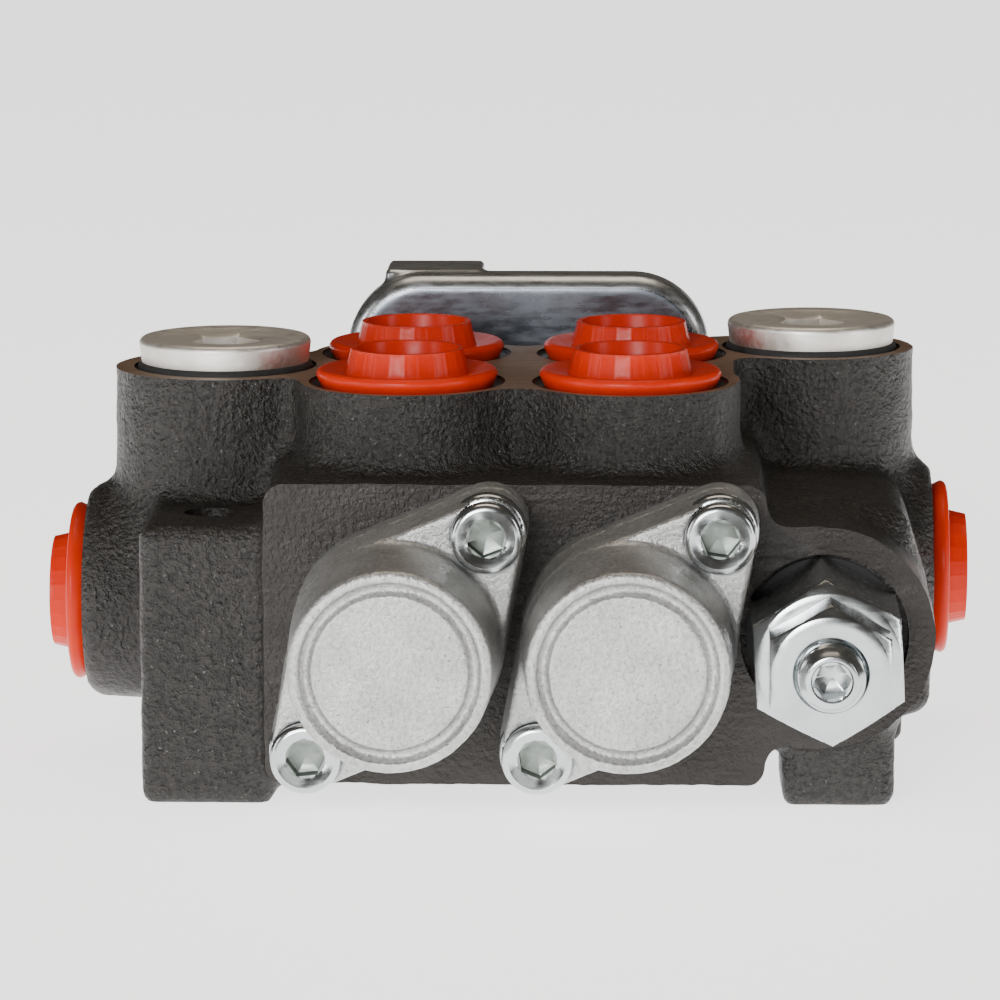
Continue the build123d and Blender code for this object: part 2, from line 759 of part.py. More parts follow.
with BuildPart() as relief_lock_nut:
    with BuildSketch(facing_front(hex_front_y)):
        with Locations((relief_x, relief_z)):
            RegularPolygon(9, 6, major_radius=False, rotation=30)
    extrude(amount=hex_front_y - nut_front_y)
    with BuildSketch(facing_front(hex_front_y)):
        with Locations((relief_x, relief_z)):
            Circle(adjuster_r + clear)
    extrude(amount=hex_front_y - nut_front_y, mode=Mode.SUBTRACT)
save(relief_lock_nut.part, "relief_lock_nut")

adjuster_tip_y = hex_front_y + 9
with BuildPart() as relief_adjuster:
    with BuildSketch(facing_front(adjuster_tip_y)):
        with Locations((relief_x, relief_z)):
            Circle(adjuster_r)
    extrude(amount=adjuster_tip_y - screw_front_y)
    chamfer(relief_adjuster.faces().sort_by(Axis.Y)[0].edges(), 0.8)
    with BuildSketch(facing_front(screw_front_y)):
        with Locations((relief_x, relief_z)):
            RegularPolygon(2.5, 6, major_radius=False)
    extrude(amount=-5, mode=Mode.SUBTRACT)
save(relief_adjuster.part, "relief_adjuster")

button_back_y = adjuster_tip_y + 3
with BuildPart() as relief_spring_button:
    with BuildSketch(along_y(relief_x, relief_z, adjuster_tip_y)):
        Circle(6.3)
    extrude(amount=3)
    with BuildSketch(along_y(relief_x, relief_z, adjuster_tip_y)):
        Circle(2.6)
    extrude(amount=6)
save(relief_spring_button.part, "relief_spring_button")

relief_guide_y = -15.0
with BuildPart() as relief_spring:
    coil_r = 0.9
    coil_len = relief_guide_y - button_back_y - 2 * coil_r - 0.2
    coil_start = (relief_x, button_back_y + coil_r + 0.1, relief_z)
    with BuildLine() as coil:
        Helix(coil_len / 8, coil_len, 4.6, center=coil_start, direction=(0, 1, 0))
    with BuildSketch(Plane(origin=coil.line @ 0, z_dir=coil.line % 0)):
        Circle(coil_r)
    sweep(is_frenet=True)
save(relief_spring.part, "relief_spring")

with BuildPart() as relief_poppet:
    with BuildSketch(along_y(relief_x, relief_z, relief_guide_y)):
        Circle(6.5)
    extrude(amount=5)
    with BuildSketch(along_y(relief_x, relief_z, relief_guide_y - 3)):
        Circle(2.6)
    extrude(amount=3)
    with BuildSketch(along_y(relief_x, relief_z, relief_guide_y + 5)):
        Circle(4.8)
    with BuildSketch(along_y(relief_x, relief_z, -2.05)):
        Circle(3.2)
    loft()
save(relief_poppet.part, "relief_poppet")

# ---------------------------------------------------------------- load check valve
check_poppet_z = 13.6
check_poppet_r = 6.3
check_cone_z = 17.8
with BuildPart() as check_poppet:
    with BuildSketch(level(check_poppet_z)):
        with Locations((0, inlet_y)):
            Circle(check_poppet_r)
    extrude(amount=check_cone_z - check_poppet_z)
    with BuildSketch(level(check_cone_z)):
        with Locations((0, inlet_y)):
            Circle(check_poppet_r)
    with BuildSketch(level(check_seat_z - 0.05)):
        with Locations((0, inlet_y)):
            Circle(5.0)
    loft()
    with BuildSketch(level(check_poppet_z)):
        with Locations((0, inlet_y)):
            Circle(4.4)
    extrude(amount=3, mode=Mode.SUBTRACT)
save(check_poppet.part, "check_poppet")

with BuildPart() as check_spring:
    with BuildLine() as coil:
        Helix(1.5, 5.7, 3.5, center=(0, inlet_y, 10.2))
    with BuildSketch(Plane(origin=coil.line @ 0, z_dir=coil.line % 0)):
        Circle(0.45)
    sweep(is_frenet=True)
save(check_spring.part, "check_spring")

with BuildPart() as check_plug:
    with BuildSketch(level(belly_z)):
        with Locations((0, inlet_y)):
            Circle(check_plug_r - clear)
    extrude(amount=6.3)
    with BuildSketch(level(belly_z)):
        with Locations((0, inlet_y)):
            RegularPolygon(4, 6, major_radius=False)
    extrude(amount=4, mode=Mode.SUBTRACT)
save(check_plug.part, "check_plug")

# ---------------------------------------------------------------- top plugs and their seals
plug_head_r = 13.35
plug_head_t = 4.1
plug_seal_t = 1.0
plug_seat_z = port_plane_z - plug_spotface_depth
plug_head_z = plug_seat_z + plug_seal_t
for name, plug_xy in (("left", (left_plug_x, inlet_y)), ("right", (right_plug_x, outlet_y))):
    with BuildPart() as plug_seal:
        with BuildSketch(level(plug_seat_z)):
            with Locations(plug_xy):
                Circle(13.3)
                Circle(10.55, mode=Mode.SUBTRACT)
        extrude(amount=plug_seal_t)
    save(plug_seal.part, f"plug_seal_{name}")

    with BuildPart() as top_plug:
        with BuildSketch(level(plug_head_z)):
            with Locations(plug_xy):
                Circle(plug_head_r)
        extrude(amount=plug_head_t)
        chamfer(top_plug.faces().sort_by(Axis.Z)[-1].edges(), 0.5)
        with BuildSketch(level(plug_head_z)):
            with Locations(plug_xy):
                Circle(plug_bore_r - clear)
        extrude(amount=-12)
        with BuildSketch(level(plug_head_z + plug_head_t)):
            with Locations(plug_xy):
                RegularPolygon(5, 6, major_radius=False)
        extrude(amount=-6.5, mode=Mode.SUBTRACT)
    save(top_plug.part, f"top_plug_{name}")

# ---------------------------------------------------------------- red port caps
cap_flange_r = 13.5
cap_flange_h = 2.0
cap_cup_h = 3.9
cap_flange_round = 0.25
cup_root_r = 9.35
cup_top_r = 8.75
cup_inner_r = 7.9
spigot_r = 10.3
spigot_inner_r = 9.0
spigot_len = 3.1
cap_planes = {}
for name, (px, py) in ports.items():
    cap_planes[name] = Plane(origin=(px, py, port_plane_z - spotface_depth), z_dir=(0, 0, 1))
cap_planes["left"] = Plane(origin=(left_end_x, inlet_y, gallery_z), z_dir=(-1, 0, 0))
cap_planes["right"] = Plane(origin=(right_end_x, outlet_y, gallery_z), z_dir=(1, 0, 0))
for name, plane in cap_planes.items():
    with BuildPart() as port_cap:
        with BuildSketch(plane):
            Circle(cap_flange_r)
        extrude(amount=cap_flange_h)
        fillet(port_cap.edges(), cap_flange_round)
        with BuildSketch(plane):
            Circle(spigot_r)
        extrude(amount=-spigot_len)
        with BuildSketch(plane.offset(cap_flange_h)):
            Circle(cup_root_r)
        with BuildSketch(plane.offset(cap_flange_h + cap_cup_h)):
            Circle(cup_top_r)
        loft()
        with BuildSketch(plane.offset(cap_flange_h + cap_cup_h)):
            Circle(cup_inner_r)
        extrude(amount=-cap_cup_h - 0.4, mode=Mode.SUBTRACT)
        with BuildSketch(plane.offset(-spigot_len)):
            Circle(spigot_inner_r)
        extrude(amount=spigot_len, mode=Mode.SUBTRACT)
    save(port_cap.part, f"port_cap_{name}")
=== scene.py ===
"""Looks of the hydraulic monoblock valve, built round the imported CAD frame.

The frame and Blender work in metres.  Places and sizes here are in millimetres, in the
frame's own axes, until a finished mesh is made: +X to the outlet, +Y to the lever, +Z up.
"""

import json
import math

import bpy
import numpy as np
from mathutils import Matrix, Vector, noise

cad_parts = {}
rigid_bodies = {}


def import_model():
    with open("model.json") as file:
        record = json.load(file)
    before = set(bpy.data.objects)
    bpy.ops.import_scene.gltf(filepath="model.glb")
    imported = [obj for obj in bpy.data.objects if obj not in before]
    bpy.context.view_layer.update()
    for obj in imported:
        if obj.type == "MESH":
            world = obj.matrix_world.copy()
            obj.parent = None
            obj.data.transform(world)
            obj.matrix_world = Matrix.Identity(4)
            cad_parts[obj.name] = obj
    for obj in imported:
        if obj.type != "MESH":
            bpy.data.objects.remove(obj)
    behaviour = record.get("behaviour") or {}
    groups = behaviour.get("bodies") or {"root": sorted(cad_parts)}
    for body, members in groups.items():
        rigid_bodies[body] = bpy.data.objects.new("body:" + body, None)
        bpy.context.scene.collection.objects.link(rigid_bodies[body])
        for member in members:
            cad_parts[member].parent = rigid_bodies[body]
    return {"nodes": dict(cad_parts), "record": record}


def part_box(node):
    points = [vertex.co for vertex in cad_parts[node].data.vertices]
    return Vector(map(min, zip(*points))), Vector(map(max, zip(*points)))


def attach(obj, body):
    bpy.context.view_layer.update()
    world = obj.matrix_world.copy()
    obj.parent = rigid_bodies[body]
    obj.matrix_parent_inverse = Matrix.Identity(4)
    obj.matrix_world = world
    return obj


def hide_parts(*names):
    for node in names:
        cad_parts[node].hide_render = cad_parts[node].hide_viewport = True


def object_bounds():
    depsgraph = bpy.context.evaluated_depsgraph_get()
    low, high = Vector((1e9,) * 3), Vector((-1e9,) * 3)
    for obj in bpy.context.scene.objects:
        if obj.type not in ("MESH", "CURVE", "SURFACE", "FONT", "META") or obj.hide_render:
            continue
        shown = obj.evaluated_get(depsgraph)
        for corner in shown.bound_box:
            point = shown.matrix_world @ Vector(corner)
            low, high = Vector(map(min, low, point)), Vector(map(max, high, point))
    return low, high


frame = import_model()
cad_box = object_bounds()
MM = 0.001
SEGMENTS = 96                  # sides of a turned piece
CAST_STEP = 0.6


# ------------------------------------------------------------------ places read from the frame
def low(node):
    """Lowest corner of a CAD node's box, in millimetres."""
    return Vector(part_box(node)[0]) / MM


def high(node):
    """Highest corner of a CAD node's box, in millimetres."""
    return Vector(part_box(node)[1]) / MM


def middle(node):
    """Centre of a CAD node's box, in millimetres."""
    return (low(node) + high(node)) / 2


body_low, body_high = low("valve_body"), high("valve_body")
top_z = body_high.z
front_y, rear_y = body_low.y, low("seal_plate").y
spool_xs = {n: middle(f"spool_{n}").x for n in "12"}
spool_z = middle("spool_1").z
ports = {n: middle(f"port_cap_{n}") for n in ("a1", "a2", "b1", "b2")}
plugs = {n: middle(f"top_plug_{n}") for n in ("left", "right")}
side_ports = {n: middle(f"port_cap_{n}") for n in ("left", "right")}
side_ends = {"left": body_low.x, "right": body_high.x}
relief = middle("relief_lock_nut")
check = middle("check_plug")


# ------------------------------------------------------------------ node materials
class Finish:
    """One procedural material being wired: its shader, and a few shared recipes."""

    def __init__(self, name):
        self.material = bpy.data.materials.new(name)
        self.material.use_nodes = True
        self.nodes = self.material.node_tree.nodes
        self.links = self.material.node_tree.links
        self.shader = self.nodes["Principled BSDF"]
        self.space = self.nodes.new("ShaderNodeTexCoord").outputs["Object"]
        self.normal = None

    def noise(self, scale, detail=3.0, rough=0.55, stretch=None):
        """Noise value over the surface, in cycles per metre, stretched along the axes if asked."""
        tex = self.nodes.new("ShaderNodeTexNoise")
        tex.inputs["Scale"].default_value = scale
        tex.inputs["Detail"].default_value = detail
        tex.inputs["Roughness"].default_value = rough
        space = self.space
        if stretch:
            mapping = self.nodes.new("ShaderNodeMapping")
            mapping.inputs["Scale"].default_value = stretch
            self.links.new(space, mapping.inputs["Vector"])
            space = mapping.outputs["Vector"]
        self.links.new(space, tex.inputs["Vector"])
        return tex.outputs["Fac"]

    def ramp(self, value, stops):
        """Colour ramp over a value; stops are (position, colour)."""
        node = self.nodes.new("ShaderNodeValToRGB")
        elements = node.color_ramp.elements
        while len(elements) < len(stops):
            elements.new(0.5)
        for element, (position, colour) in zip(elements, stops):
            element.position = position
            element.color = (*colour, 1)
        self.links.new(value, node.inputs["Fac"])
        return node.outputs["Color"]

    def mix(self, factor, first, second, how="MIX"):
        """Mix of two colours, either of which may be a plain colour."""
        node = self.nodes.new("ShaderNodeMix")
        node.data_type = "RGBA"
        node.blend_type = how
        for socket, value in ((node.inputs["Factor"], factor), (node.inputs["A"], first),
                              (node.inputs["B"], second)):
            if isinstance(value, tuple):
                socket.default_value = (*value, 1)
            elif isinstance(value, (int, float)):
                socket.default_value = value
            else:
                self.links.new(value, socket)
        return node.outputs["Result"]

    def colour(self, value):
        """Colour of the surface."""
        self.links.new(value, self.shader.inputs["Base Color"])

    def roughness(self, value, least, most):
        """Roughness that follows a noise value."""
        node = self.nodes.new("ShaderNodeMapRange")
        for name, number in (("From Min", 0.3), ("From Max", 0.7), ("To Min", least), ("To Max", most)):
            node.inputs[name].default_value = number
        self.links.new(value, node.inputs["Value"])
        self.links.new(node.outputs["Result"], self.shader.inputs["Roughness"])

    def bump(self, height, depth, strength=1.0):
        """One more layer of relief, depth in millimetres."""
        node = self.nodes.new("ShaderNodeBump")
        node.inputs["Distance"].default_value = depth * MM
        node.inputs["Strength"].default_value = strength
        self.links.new(height, node.inputs["Height"])
        if self.normal is not None:
            self.links.new(self.normal, node.inputs["Normal"])
        self.normal = node.outputs["Normal"]
        self.links.new(self.normal, self.shader.inputs["Normal"])


def cast_iron():
    """Dark phosphated casting skin: coarse foundry grain that glints, with painted shade in the grain's hollows and
    small painted glints.
    """
    finish = Finish("cast_iron")
    grain = finish.noise(1250, 3, 0.6)
    base = finish.ramp(finish.noise(45, 4), [(0.3, (0.023, 0.0203, 0.0180)), (0.7, (0.034, 0.0302, 0.0270))])
    # painted shade: the skin is darker where the grain bump is low, in its hollows
    painted_hollow_shade = finish.ramp(grain, [(0.36, (0.35, 0.35, 0.35)), (0.58, (1, 1, 1))])
    skin_with_hollow_shade = finish.mix(1.0, base, painted_hollow_shade, "MULTIPLY")
    # painted glints: small bright specks mixed into the skin colour
    painted_glint = finish.ramp(finish.noise(1700, 2, 0.5), [(0.68, (0, 0, 0)), (0.74, (1, 1, 1))])
    finish.colour(finish.mix(painted_glint, skin_with_hollow_shade, (0.12, 0.115, 0.108)))
    finish.roughness(finish.noise(300, 3), 0.30, 0.46)
    finish.shader.inputs["Metallic"].default_value = 0.25
    finish.bump(finish.noise(420, 3), 0.25, 1.0)
    finish.bump(grain, 0.8, 1.0)
    return finish.material


def machined_iron(name, tint, least, most, metallic, grain=0.02):
    """Milled iron face: fine tool marks, and what the film leaves of the grain, in mm."""
    finish = Finish(name)
    marks = finish.noise(900, 2, 0.5, stretch=(0.15, 1.6, 1.6))
    darker = tuple(0.72 * c for c in tint)
    finish.colour(finish.ramp(finish.noise(140, 5, 0.65), [(0.35, darker), (0.65, tint)]))
    finish.roughness(marks, least, most)
    finish.shader.inputs["Metallic"].default_value = metallic
    finish.bump(marks, 0.03, 0.5)
    finish.bump(finish.noise(1150, 3, 0.6), grain, 0.8)
    return finish.material


def cast_alloy():
    """Die-cast zinc alloy: pale grey and satin, with flow marks, fine pits, and painted shade in the grain's low spots.
    """
    finish = Finish("cast_alloy")
    grain = finish.noise(1500, 3, 0.65)
    clouds = finish.ramp(finish.noise(110, 5, 0.6), [(0.3, (0.44, 0.44, 0.43)), (0.7, (0.60, 0.60, 0.59))])
    # painted shade: darker where the grain bump is low
    grain_hollow_shade = finish.ramp(grain, [(0.38, (0.72, 0.72, 0.72)), (0.60, (1, 1, 1))])
    base = finish.mix(1.0, clouds, grain_hollow_shade, "MULTIPLY")
    pits = finish.ramp(finish.noise(2300, 2, 0.5), [(0.26, (0.42, 0.41, 0.40)), (0.36, (1, 1, 1))])
    finish.colour(finish.mix(1.0, base, pits, "MULTIPLY"))
    finish.roughness(grain, 0.32, 0.48)
    finish.shader.inputs["Metallic"].default_value = 0.8
    finish.bump(finish.noise(380, 3), 0.20, 0.6)
    finish.bump(grain, 0.22, 0.9)
    return finish.material


def plated(name, tint, least, most, cloud=0.10, stretch=(0.3, 2.4, 1.1)):
    """Plated steel: faintly clouded, with fine scratches."""
    finish = Finish(name)
    clouds = finish.noise(170, 4, 0.6)
    scratches = finish.noise(850, 2, 0.5, stretch=stretch)
    darker = tuple((1 - cloud) * c for c in tint)
    finish.colour(finish.ramp(clouds, [(0.3, darker), (0.7, tint)]))
    finish.roughness(scratches, least, most)
    finish.shader.inputs["Metallic"].default_value = 1.0
    finish.bump(clouds, 0.03, 0.3)
    finish.bump(scratches, 0.012, 0.35)
    return finish.material


def red_plastic():
    """Glossy moulded cap plastic that lets a little light through."""
    finish = Finish("red_plastic")
    clouds = finish.noise(150, 3)
    finish.colour(finish.ramp(clouds, [(0.3, (0.56, 0.017, 0.0008)), (0.7, (0.64, 0.024, 0.001))]))
    finish.roughness(finish.noise(520, 3), 0.28, 0.40)
    finish.shader.inputs["Specular IOR Level"].default_value = 0.22
    finish.shader.inputs["Subsurface Weight"].default_value = 0.2
    finish.shader.inputs["Subsurface Radius"].default_value = (3 * MM, 0.6 * MM, 0.3 * MM)
    finish.shader.inputs["Subsurface Scale"].default_value = 0.6
    finish.bump(finish.noise(260, 2), 0.08, 0.3)
    return finish.material


def seal_rubber():
    """Matt black seal rubber with a dusty bloom."""
    finish = Finish("seal_rubber")
    bloom = finish.noise(300, 4)
    finish.colour(finish.ramp(bloom, [(0.35, (0.012, 0.012, 0.012)), (0.75, (0.030, 0.030, 0.030))]))
    finish.roughness(bloom, 0.6, 0.8)
    finish.bump(finish.noise(1500, 2), 0.03, 0.5)
    return finish.material


MATERIALS = {
    "cast_iron": cast_iron(),
    "cast_alloy": cast_alloy(),
    "zinc_steel": plated("zinc_steel", (0.60, 0.63, 0.64), 0.16, 0.28, 0.2),
    # the plugs' warm tint is partly their plating's own colour and partly a painted warm reflection
    "plated_plug": plated("plated_plug", (0.86, 0.82, 0.76), 0.40, 0.56),
    # the bracket sheet's dark tint is partly its plating and partly a painted dark reflection on its web
    "plated_sheet": plated("plated_sheet", (0.20, 0.22, 0.25), 0.22, 0.34, 0.3),
    "bright_steel": plated("bright_steel", (0.58, 0.58, 0.58), 0.16, 0.28),
    "dark_steel": plated("dark_steel", (0.30, 0.30, 0.31), 0.30, 0.45),
    "spring_steel": plated("spring_steel", (0.24, 0.24, 0.26), 0.26, 0.40),
    "red_plastic": red_plastic(),
    "seal_rubber": seal_rubber(),
}
# The top faces have their own brown milled tone, made brighter and warmer than the other milled faces as a painted warm
# reflection.
MILLED_TOP_PAINTED_SHEEN = machined_iron("milled_top_painted_sheen", (0.22, 0.140, 0.092), 0.44, 0.60, 0.3)
MILLED_DARK = machined_iron("milled_dark", (0.031, 0.0265, 0.0235), 0.34, 0.52, 0.4, 0.5)
# painted shade: a darker plating for the inside of the screw sockets
SOCKET_PAINTED_SHADE = plated("socket_painted_shade", (0.27, 0.30, 0.275), 0.32, 0.5, 0.3)
# painted highlight: a bright copy of the sheet plating for the upper rim
RIM_PAINTED_HIGHLIGHT = plated("rim_painted_highlight", (0.66, 0.68, 0.70), 0.24, 0.38, 0.2)
SLOT_OF = {part["node"]: part["material_slot"] for part in frame["record"]["subparts"]}
BODY_OF = {node: body for body, nodes in frame["record"]["behaviour"]["bodies"].items() for node in nodes}


# ------------------------------------------------------------------ meshes
def as_mesh(name, shape):
    """Blender mesh of a shape, which is (corners in millimetres, faces)."""
    corners, faces = shape
    mesh = bpy.data.meshes.new(name)
    mesh.from_pydata([tuple(c * MM for c in corner) for corner in corners], [], faces)
    mesh.update()
    return mesh


def refinish(mesh, node, finish, chosen):
    """Give another finish to the faces that the test picks by centre, in mm, and normal."""
    mesh.materials.append(MATERIALS[SLOT_OF[node]])
    mesh.materials.append(finish)
    for face in mesh.polygons:
        if chosen(face.center / MM, face.normal):
            face.material_index = 1


def stand_in(node, mesh, sharp=34.0):
    """Finished piece that replaces a CAD node, rides with its body and takes its finish."""
    if not any(mesh.materials):
        mesh.materials.clear()
        mesh.materials.append(MATERIALS[SLOT_OF[node]])
    mesh.shade_smooth()
    mesh.set_sharp_from_angle(angle=math.radians(sharp))
    piece = bpy.data.objects.new(f"{node}_visual", mesh)
    bpy.context.scene.collection.objects.link(piece)
    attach(piece, BODY_OF[node])
    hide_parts(node)
    return piece


def ring_radius(entry, angle):
    """Radius of one profile entry at an angle: round, six-sided or threaded."""
    radius, height, *form = entry
    if not form:
        return radius
    kind, *size = form[0]
    if kind == "hex":
        off_flat = angle % (math.pi / 3) - math.pi / 6
        return min(radius, size[0] / 2 / math.cos(off_flat))
    if kind == "ribs":
        count, rise = size
        return radius + rise * max(0.0, math.cos(count * angle)) ** 6
    pitch, depth = size
    phase = (height / pitch - angle / (2 * math.pi)) % 1
    return radius - depth * min(1.0, max(0.0, 1.6 * abs(2 * phase - 1) - 0.3))


def turned(profile, closed=False, segments=SEGMENTS, turn=0.0):
    """Turned shape about local Z.  Profile entries are (radius, height) with an optional form.

    An open profile runs from axis to axis; a closed one is a loop clear of the axis.
    """
    corners, faces, rings = [], [], []
    for entry in profile:
        start = len(corners)
        if entry[0] < 1e-6:
            corners.append((0.0, 0.0, entry[1]))
            rings.append((start,))
            continue
        for k in range(segments):
            angle = 2 * math.pi * k / segments
            radius = ring_radius(entry, angle)
            corners.append((radius * math.cos(angle + turn), radius * math.sin(angle + turn), entry[1]))
        rings.append(tuple(range(start, start + segments)))
    pairs = list(zip(rings, rings[1:]))
    if closed:
        pairs.append((rings[-1], rings[0]))
    for one, two in pairs:
        for k in range(segments):
            m = (k + 1) % segments
            if len(one) == 1:
                faces.append((one[0], two[m], two[k]))
            elif len(two) == 1:
                faces.append((one[k], one[m], two[0]))
            else:
                faces.append((one[k], one[m], two[m], two[k]))
    return corners, faces


def softened(points, radii, steps=4):
    """Profile with arcs at the corners named in radii, which maps index to radius."""
    out = []
    for i, point in enumerate(points):
        radius = radii.get(i, 0)
        if not radius:
            out.append(point)
            continue
        here = Vector(point[:2])
        back = (Vector(points[i - 1][:2]) - here).normalized()
        ahead = (Vector(points[(i + 1) % len(points)][:2]) - here).normalized()
        half = back.angle(ahead) / 2
        centre = here + (back + ahead).normalized() * (radius / math.sin(half))
        run = radius / math.tan(half)
        start, end = here + back * run - centre, here + ahead * run - centre
        for k in range(steps + 1):
            spoke = start.slerp(end, k / steps) if start.angle(end) > 1e-4 else end
            out.append((*(centre + spoke), *point[2:]))
    return out


def thread(radius, start, end, pitch, depth):
    """Profile entries of a helical thread from start to end height."""
    count = max(2, int(abs(end - start) / pitch * 7))
    heights = [start + (end - start) * k / count for k in range(count + 1)]
    return [(radius, h, ("thread", pitch, depth)) for h in heights]


def aimed(shape, origin, axis):
    """Shape moved to origin, with its local Z along axis."""
    turn = Vector((0, 0, 1)).rotation_difference(Vector(axis))
    origin = Vector(origin)
    return [tuple(turn @ Vector(c) + origin) for c in shape[0]], shape[1]


def merged(shapes):
    """Several shapes as one."""
    corners, faces = [], []
    for shape in shapes:
        base = len(corners)
        corners += shape[0]
        faces += [tuple(i + base for i in face) for face in shape[1]]
    return corners, faces


def outward(shape):
    """Shape whose faces look outward, by the sign of its volume."""
    corners, faces = shape
    volume = 0.0
    for face in faces:
        a = Vector(corners[face[0]])
        for b, c in zip(face[1:], face[2:]):
            volume += a.dot(Vector(corners[b]).cross(Vector(corners[c])))
    return shape if volume > 0 else (corners, [face[::-1] for face in faces])


def block(lowest, highest):
    """Plain box shape, used as a cutter."""
    corners = [(x, y, z) for x in (lowest[0], highest[0]) for y in (lowest[1], highest[1])
               for z in (lowest[2], highest[2])]
    faces = [(0, 1, 3, 2), (4, 6, 7, 5), (0, 4, 5, 1), (2, 3, 7, 6), (0, 2, 6, 4), (1, 5, 7, 3)]
    return corners, faces


def cut(mesh, shapes, material=None, operation="DIFFERENCE"):
    """Mesh after a boolean with closed shapes; the new faces take the material."""
    body = bpy.data.objects.new("work", mesh)
    cutter = bpy.data.objects.new("cutter", as_mesh("cutter", merged([outward(s) for s in shapes])))
    for item in (body, cutter):
        bpy.context.scene.collection.objects.link(item)
    modifier = body.modifiers.new("cut", "BOOLEAN")
    modifier.operation = operation
    modifier.object = cutter
    modifier.solver = "MANIFOLD"
    if material is not None:
        cutter.data.materials.append(material)
        modifier.material_mode = "TRANSFER"
    depsgraph = bpy.context.evaluated_depsgraph_get()
    result = bpy.data.meshes.new_from_object(body.evaluated_get(depsgraph))
    for item in (body, cutter):
        bpy.data.objects.remove(item)
    return result


# ------------------------------------------------------------------ distance fields
def grid(lowest, highest, step):
    """Coordinate arrays of a regular grid that spans a box."""
    axes = [np.arange(lowest[i], highest[i] + step, step, dtype=np.float32) for i in range(3)]
    return [axes[0][:, None, None], axes[1][None, :, None], axes[2][None, None, :]]


def rounded_box(p, lowest, highest, r):
    """Distance to a box with rounded edges."""
    q = [np.abs(p[i] - (lowest[i] + highest[i]) / 2) - ((highest[i] - lowest[i]) / 2 - r) for i in range(3)]
    outside = np.sqrt(sum(np.maximum(x, 0) ** 2 for x in q))
    return outside + np.minimum(np.maximum(np.maximum(q[0], q[1]), q[2]), 0) - r


def rounded_plate(p, axis, centre, half, corner_r, start, end, r):
    """Distance to a plate square to an axis: rounded corners of corner_r, edges of r."""
    one, two = [i for i in range(3) if i != axis]
    a = np.abs(p[one] - centre[0]) - (half[0] - corner_r)
    b = np.abs(p[two] - centre[1]) - (half[1] - corner_r)
    outside = np.sqrt(np.maximum(a, 0) ** 2 + np.maximum(b, 0) ** 2)
    outline = outside + np.minimum(np.maximum(a, b), 0) - corner_r
    return thick(p, axis, outline, start, end, r)


def thick(p, axis, outline, start, end, r):
    """Distance to an outline given thickness along an axis, with edges rounded by r."""
    d = outline + r
    e = np.abs(p[axis] - (start + end) / 2) - ((end - start) / 2 - r)
    return np.sqrt(np.maximum(d, 0) ** 2 + np.maximum(e, 0) ** 2) + np.minimum(np.maximum(d, e), 0) - r


def rod(p, axis, centre, radius, start, end, r):
    """Distance to a cylinder along an axis, with its rims rounded by r."""
    one, two = [i for i in range(3) if i != axis]
    outline = np.sqrt((p[one] - centre[0]) ** 2 + (p[two] - centre[1]) ** 2) - radius
    return thick(p, axis, outline, start, end, r)


def joined(a, b, fillet):
    """Union of two fields with a fillet."""
    h = np.maximum(fillet - np.abs(a - b), 0) / fillet
    return np.minimum(a, b) - h * h * fillet / 4


def without(a, b, fillet):
    """First field less the second, with a rounded edge."""
    return -joined(-a, b, fillet)


def skin(name, field, origin, step):
    """Closed mesh of a field's zero level, with one corner in each cell that the surface crosses."""
    inside = field < 0
    cells_shape = np.array(field.shape) - 1
    offsets = [(i, j, k) for i in (0, 1) for j in (0, 1) for k in (0, 1)]

    def at(values, offset):
        return values[tuple(slice(o, o + n) for o, n in zip(offset, cells_shape))]

    filled = sum(at(inside, o).astype(np.int8) for o in offsets)
    active = (filled > 0) & (filled < 8)
    cells = np.argwhere(active)
    index = np.full(active.shape, -1, np.int64)
    index[active] = np.arange(len(cells))
    total, hits = np.zeros((len(cells), 3)), np.zeros(len(cells))
    values = {o: at(field, o)[active] for o in offsets}
    for start in offsets:
        for axis in range(3):
            if start[axis]:
                continue
            end = tuple(1 if i == axis else start[i] for i in range(3))
            a, b = values[start], values[end]
            crosses = (a < 0) != (b < 0)
            point = np.tile(np.array(start, float), (len(cells), 1))
            point[:, axis] += np.where(crosses, a / np.where(a == b, 1, a - b), 0)
            total += point * crosses[:, None]
            hits += crosses
    corners = (cells + total / hits[:, None]) * step + np.array(origin)

    quads = []
    for axis in range(3):
        u, v = (axis + 1) % 3, (axis + 2) % 3
        here, ahead = [slice(1, -1)] * 3, [slice(1, -1)] * 3
        here[axis], ahead[axis] = slice(0, -1), slice(1, None)
        a, b = inside[tuple(here)], inside[tuple(ahead)]
        edges = np.argwhere(a != b)
        edges[:, u] += 1
        edges[:, v] += 1
        loop = []
        for du, dv in ((-1, -1), (0, -1), (0, 0), (-1, 0)):
            cell = edges.copy()
            cell[:, u] += du
            cell[:, v] += dv
            loop.append(index[cell[:, 0], cell[:, 1], cell[:, 2]])
        faces = np.stack(loop, 1)
        leaving = a[a != b]
        faces[~leaving] = faces[~leaving][:, ::-1]
        quads.append(faces)
    quads = np.concatenate(quads)

    mesh = bpy.data.meshes.new(name)
    mesh.vertices.add(len(corners))
    mesh.vertices.foreach_set("co", (corners * MM).astype(np.float32).ravel())
    mesh.loops.add(quads.size)
    mesh.loops.foreach_set("vertex_index", quads.astype(np.int32).ravel())
    mesh.polygons.add(len(quads))
    mesh.polygons.foreach_set("loop_start", np.arange(0, quads.size, 4, dtype=np.int32))
    mesh.polygons.foreach_set("loop_total", np.full(len(quads), 4, dtype=np.int32))
    mesh.update()
    return mesh


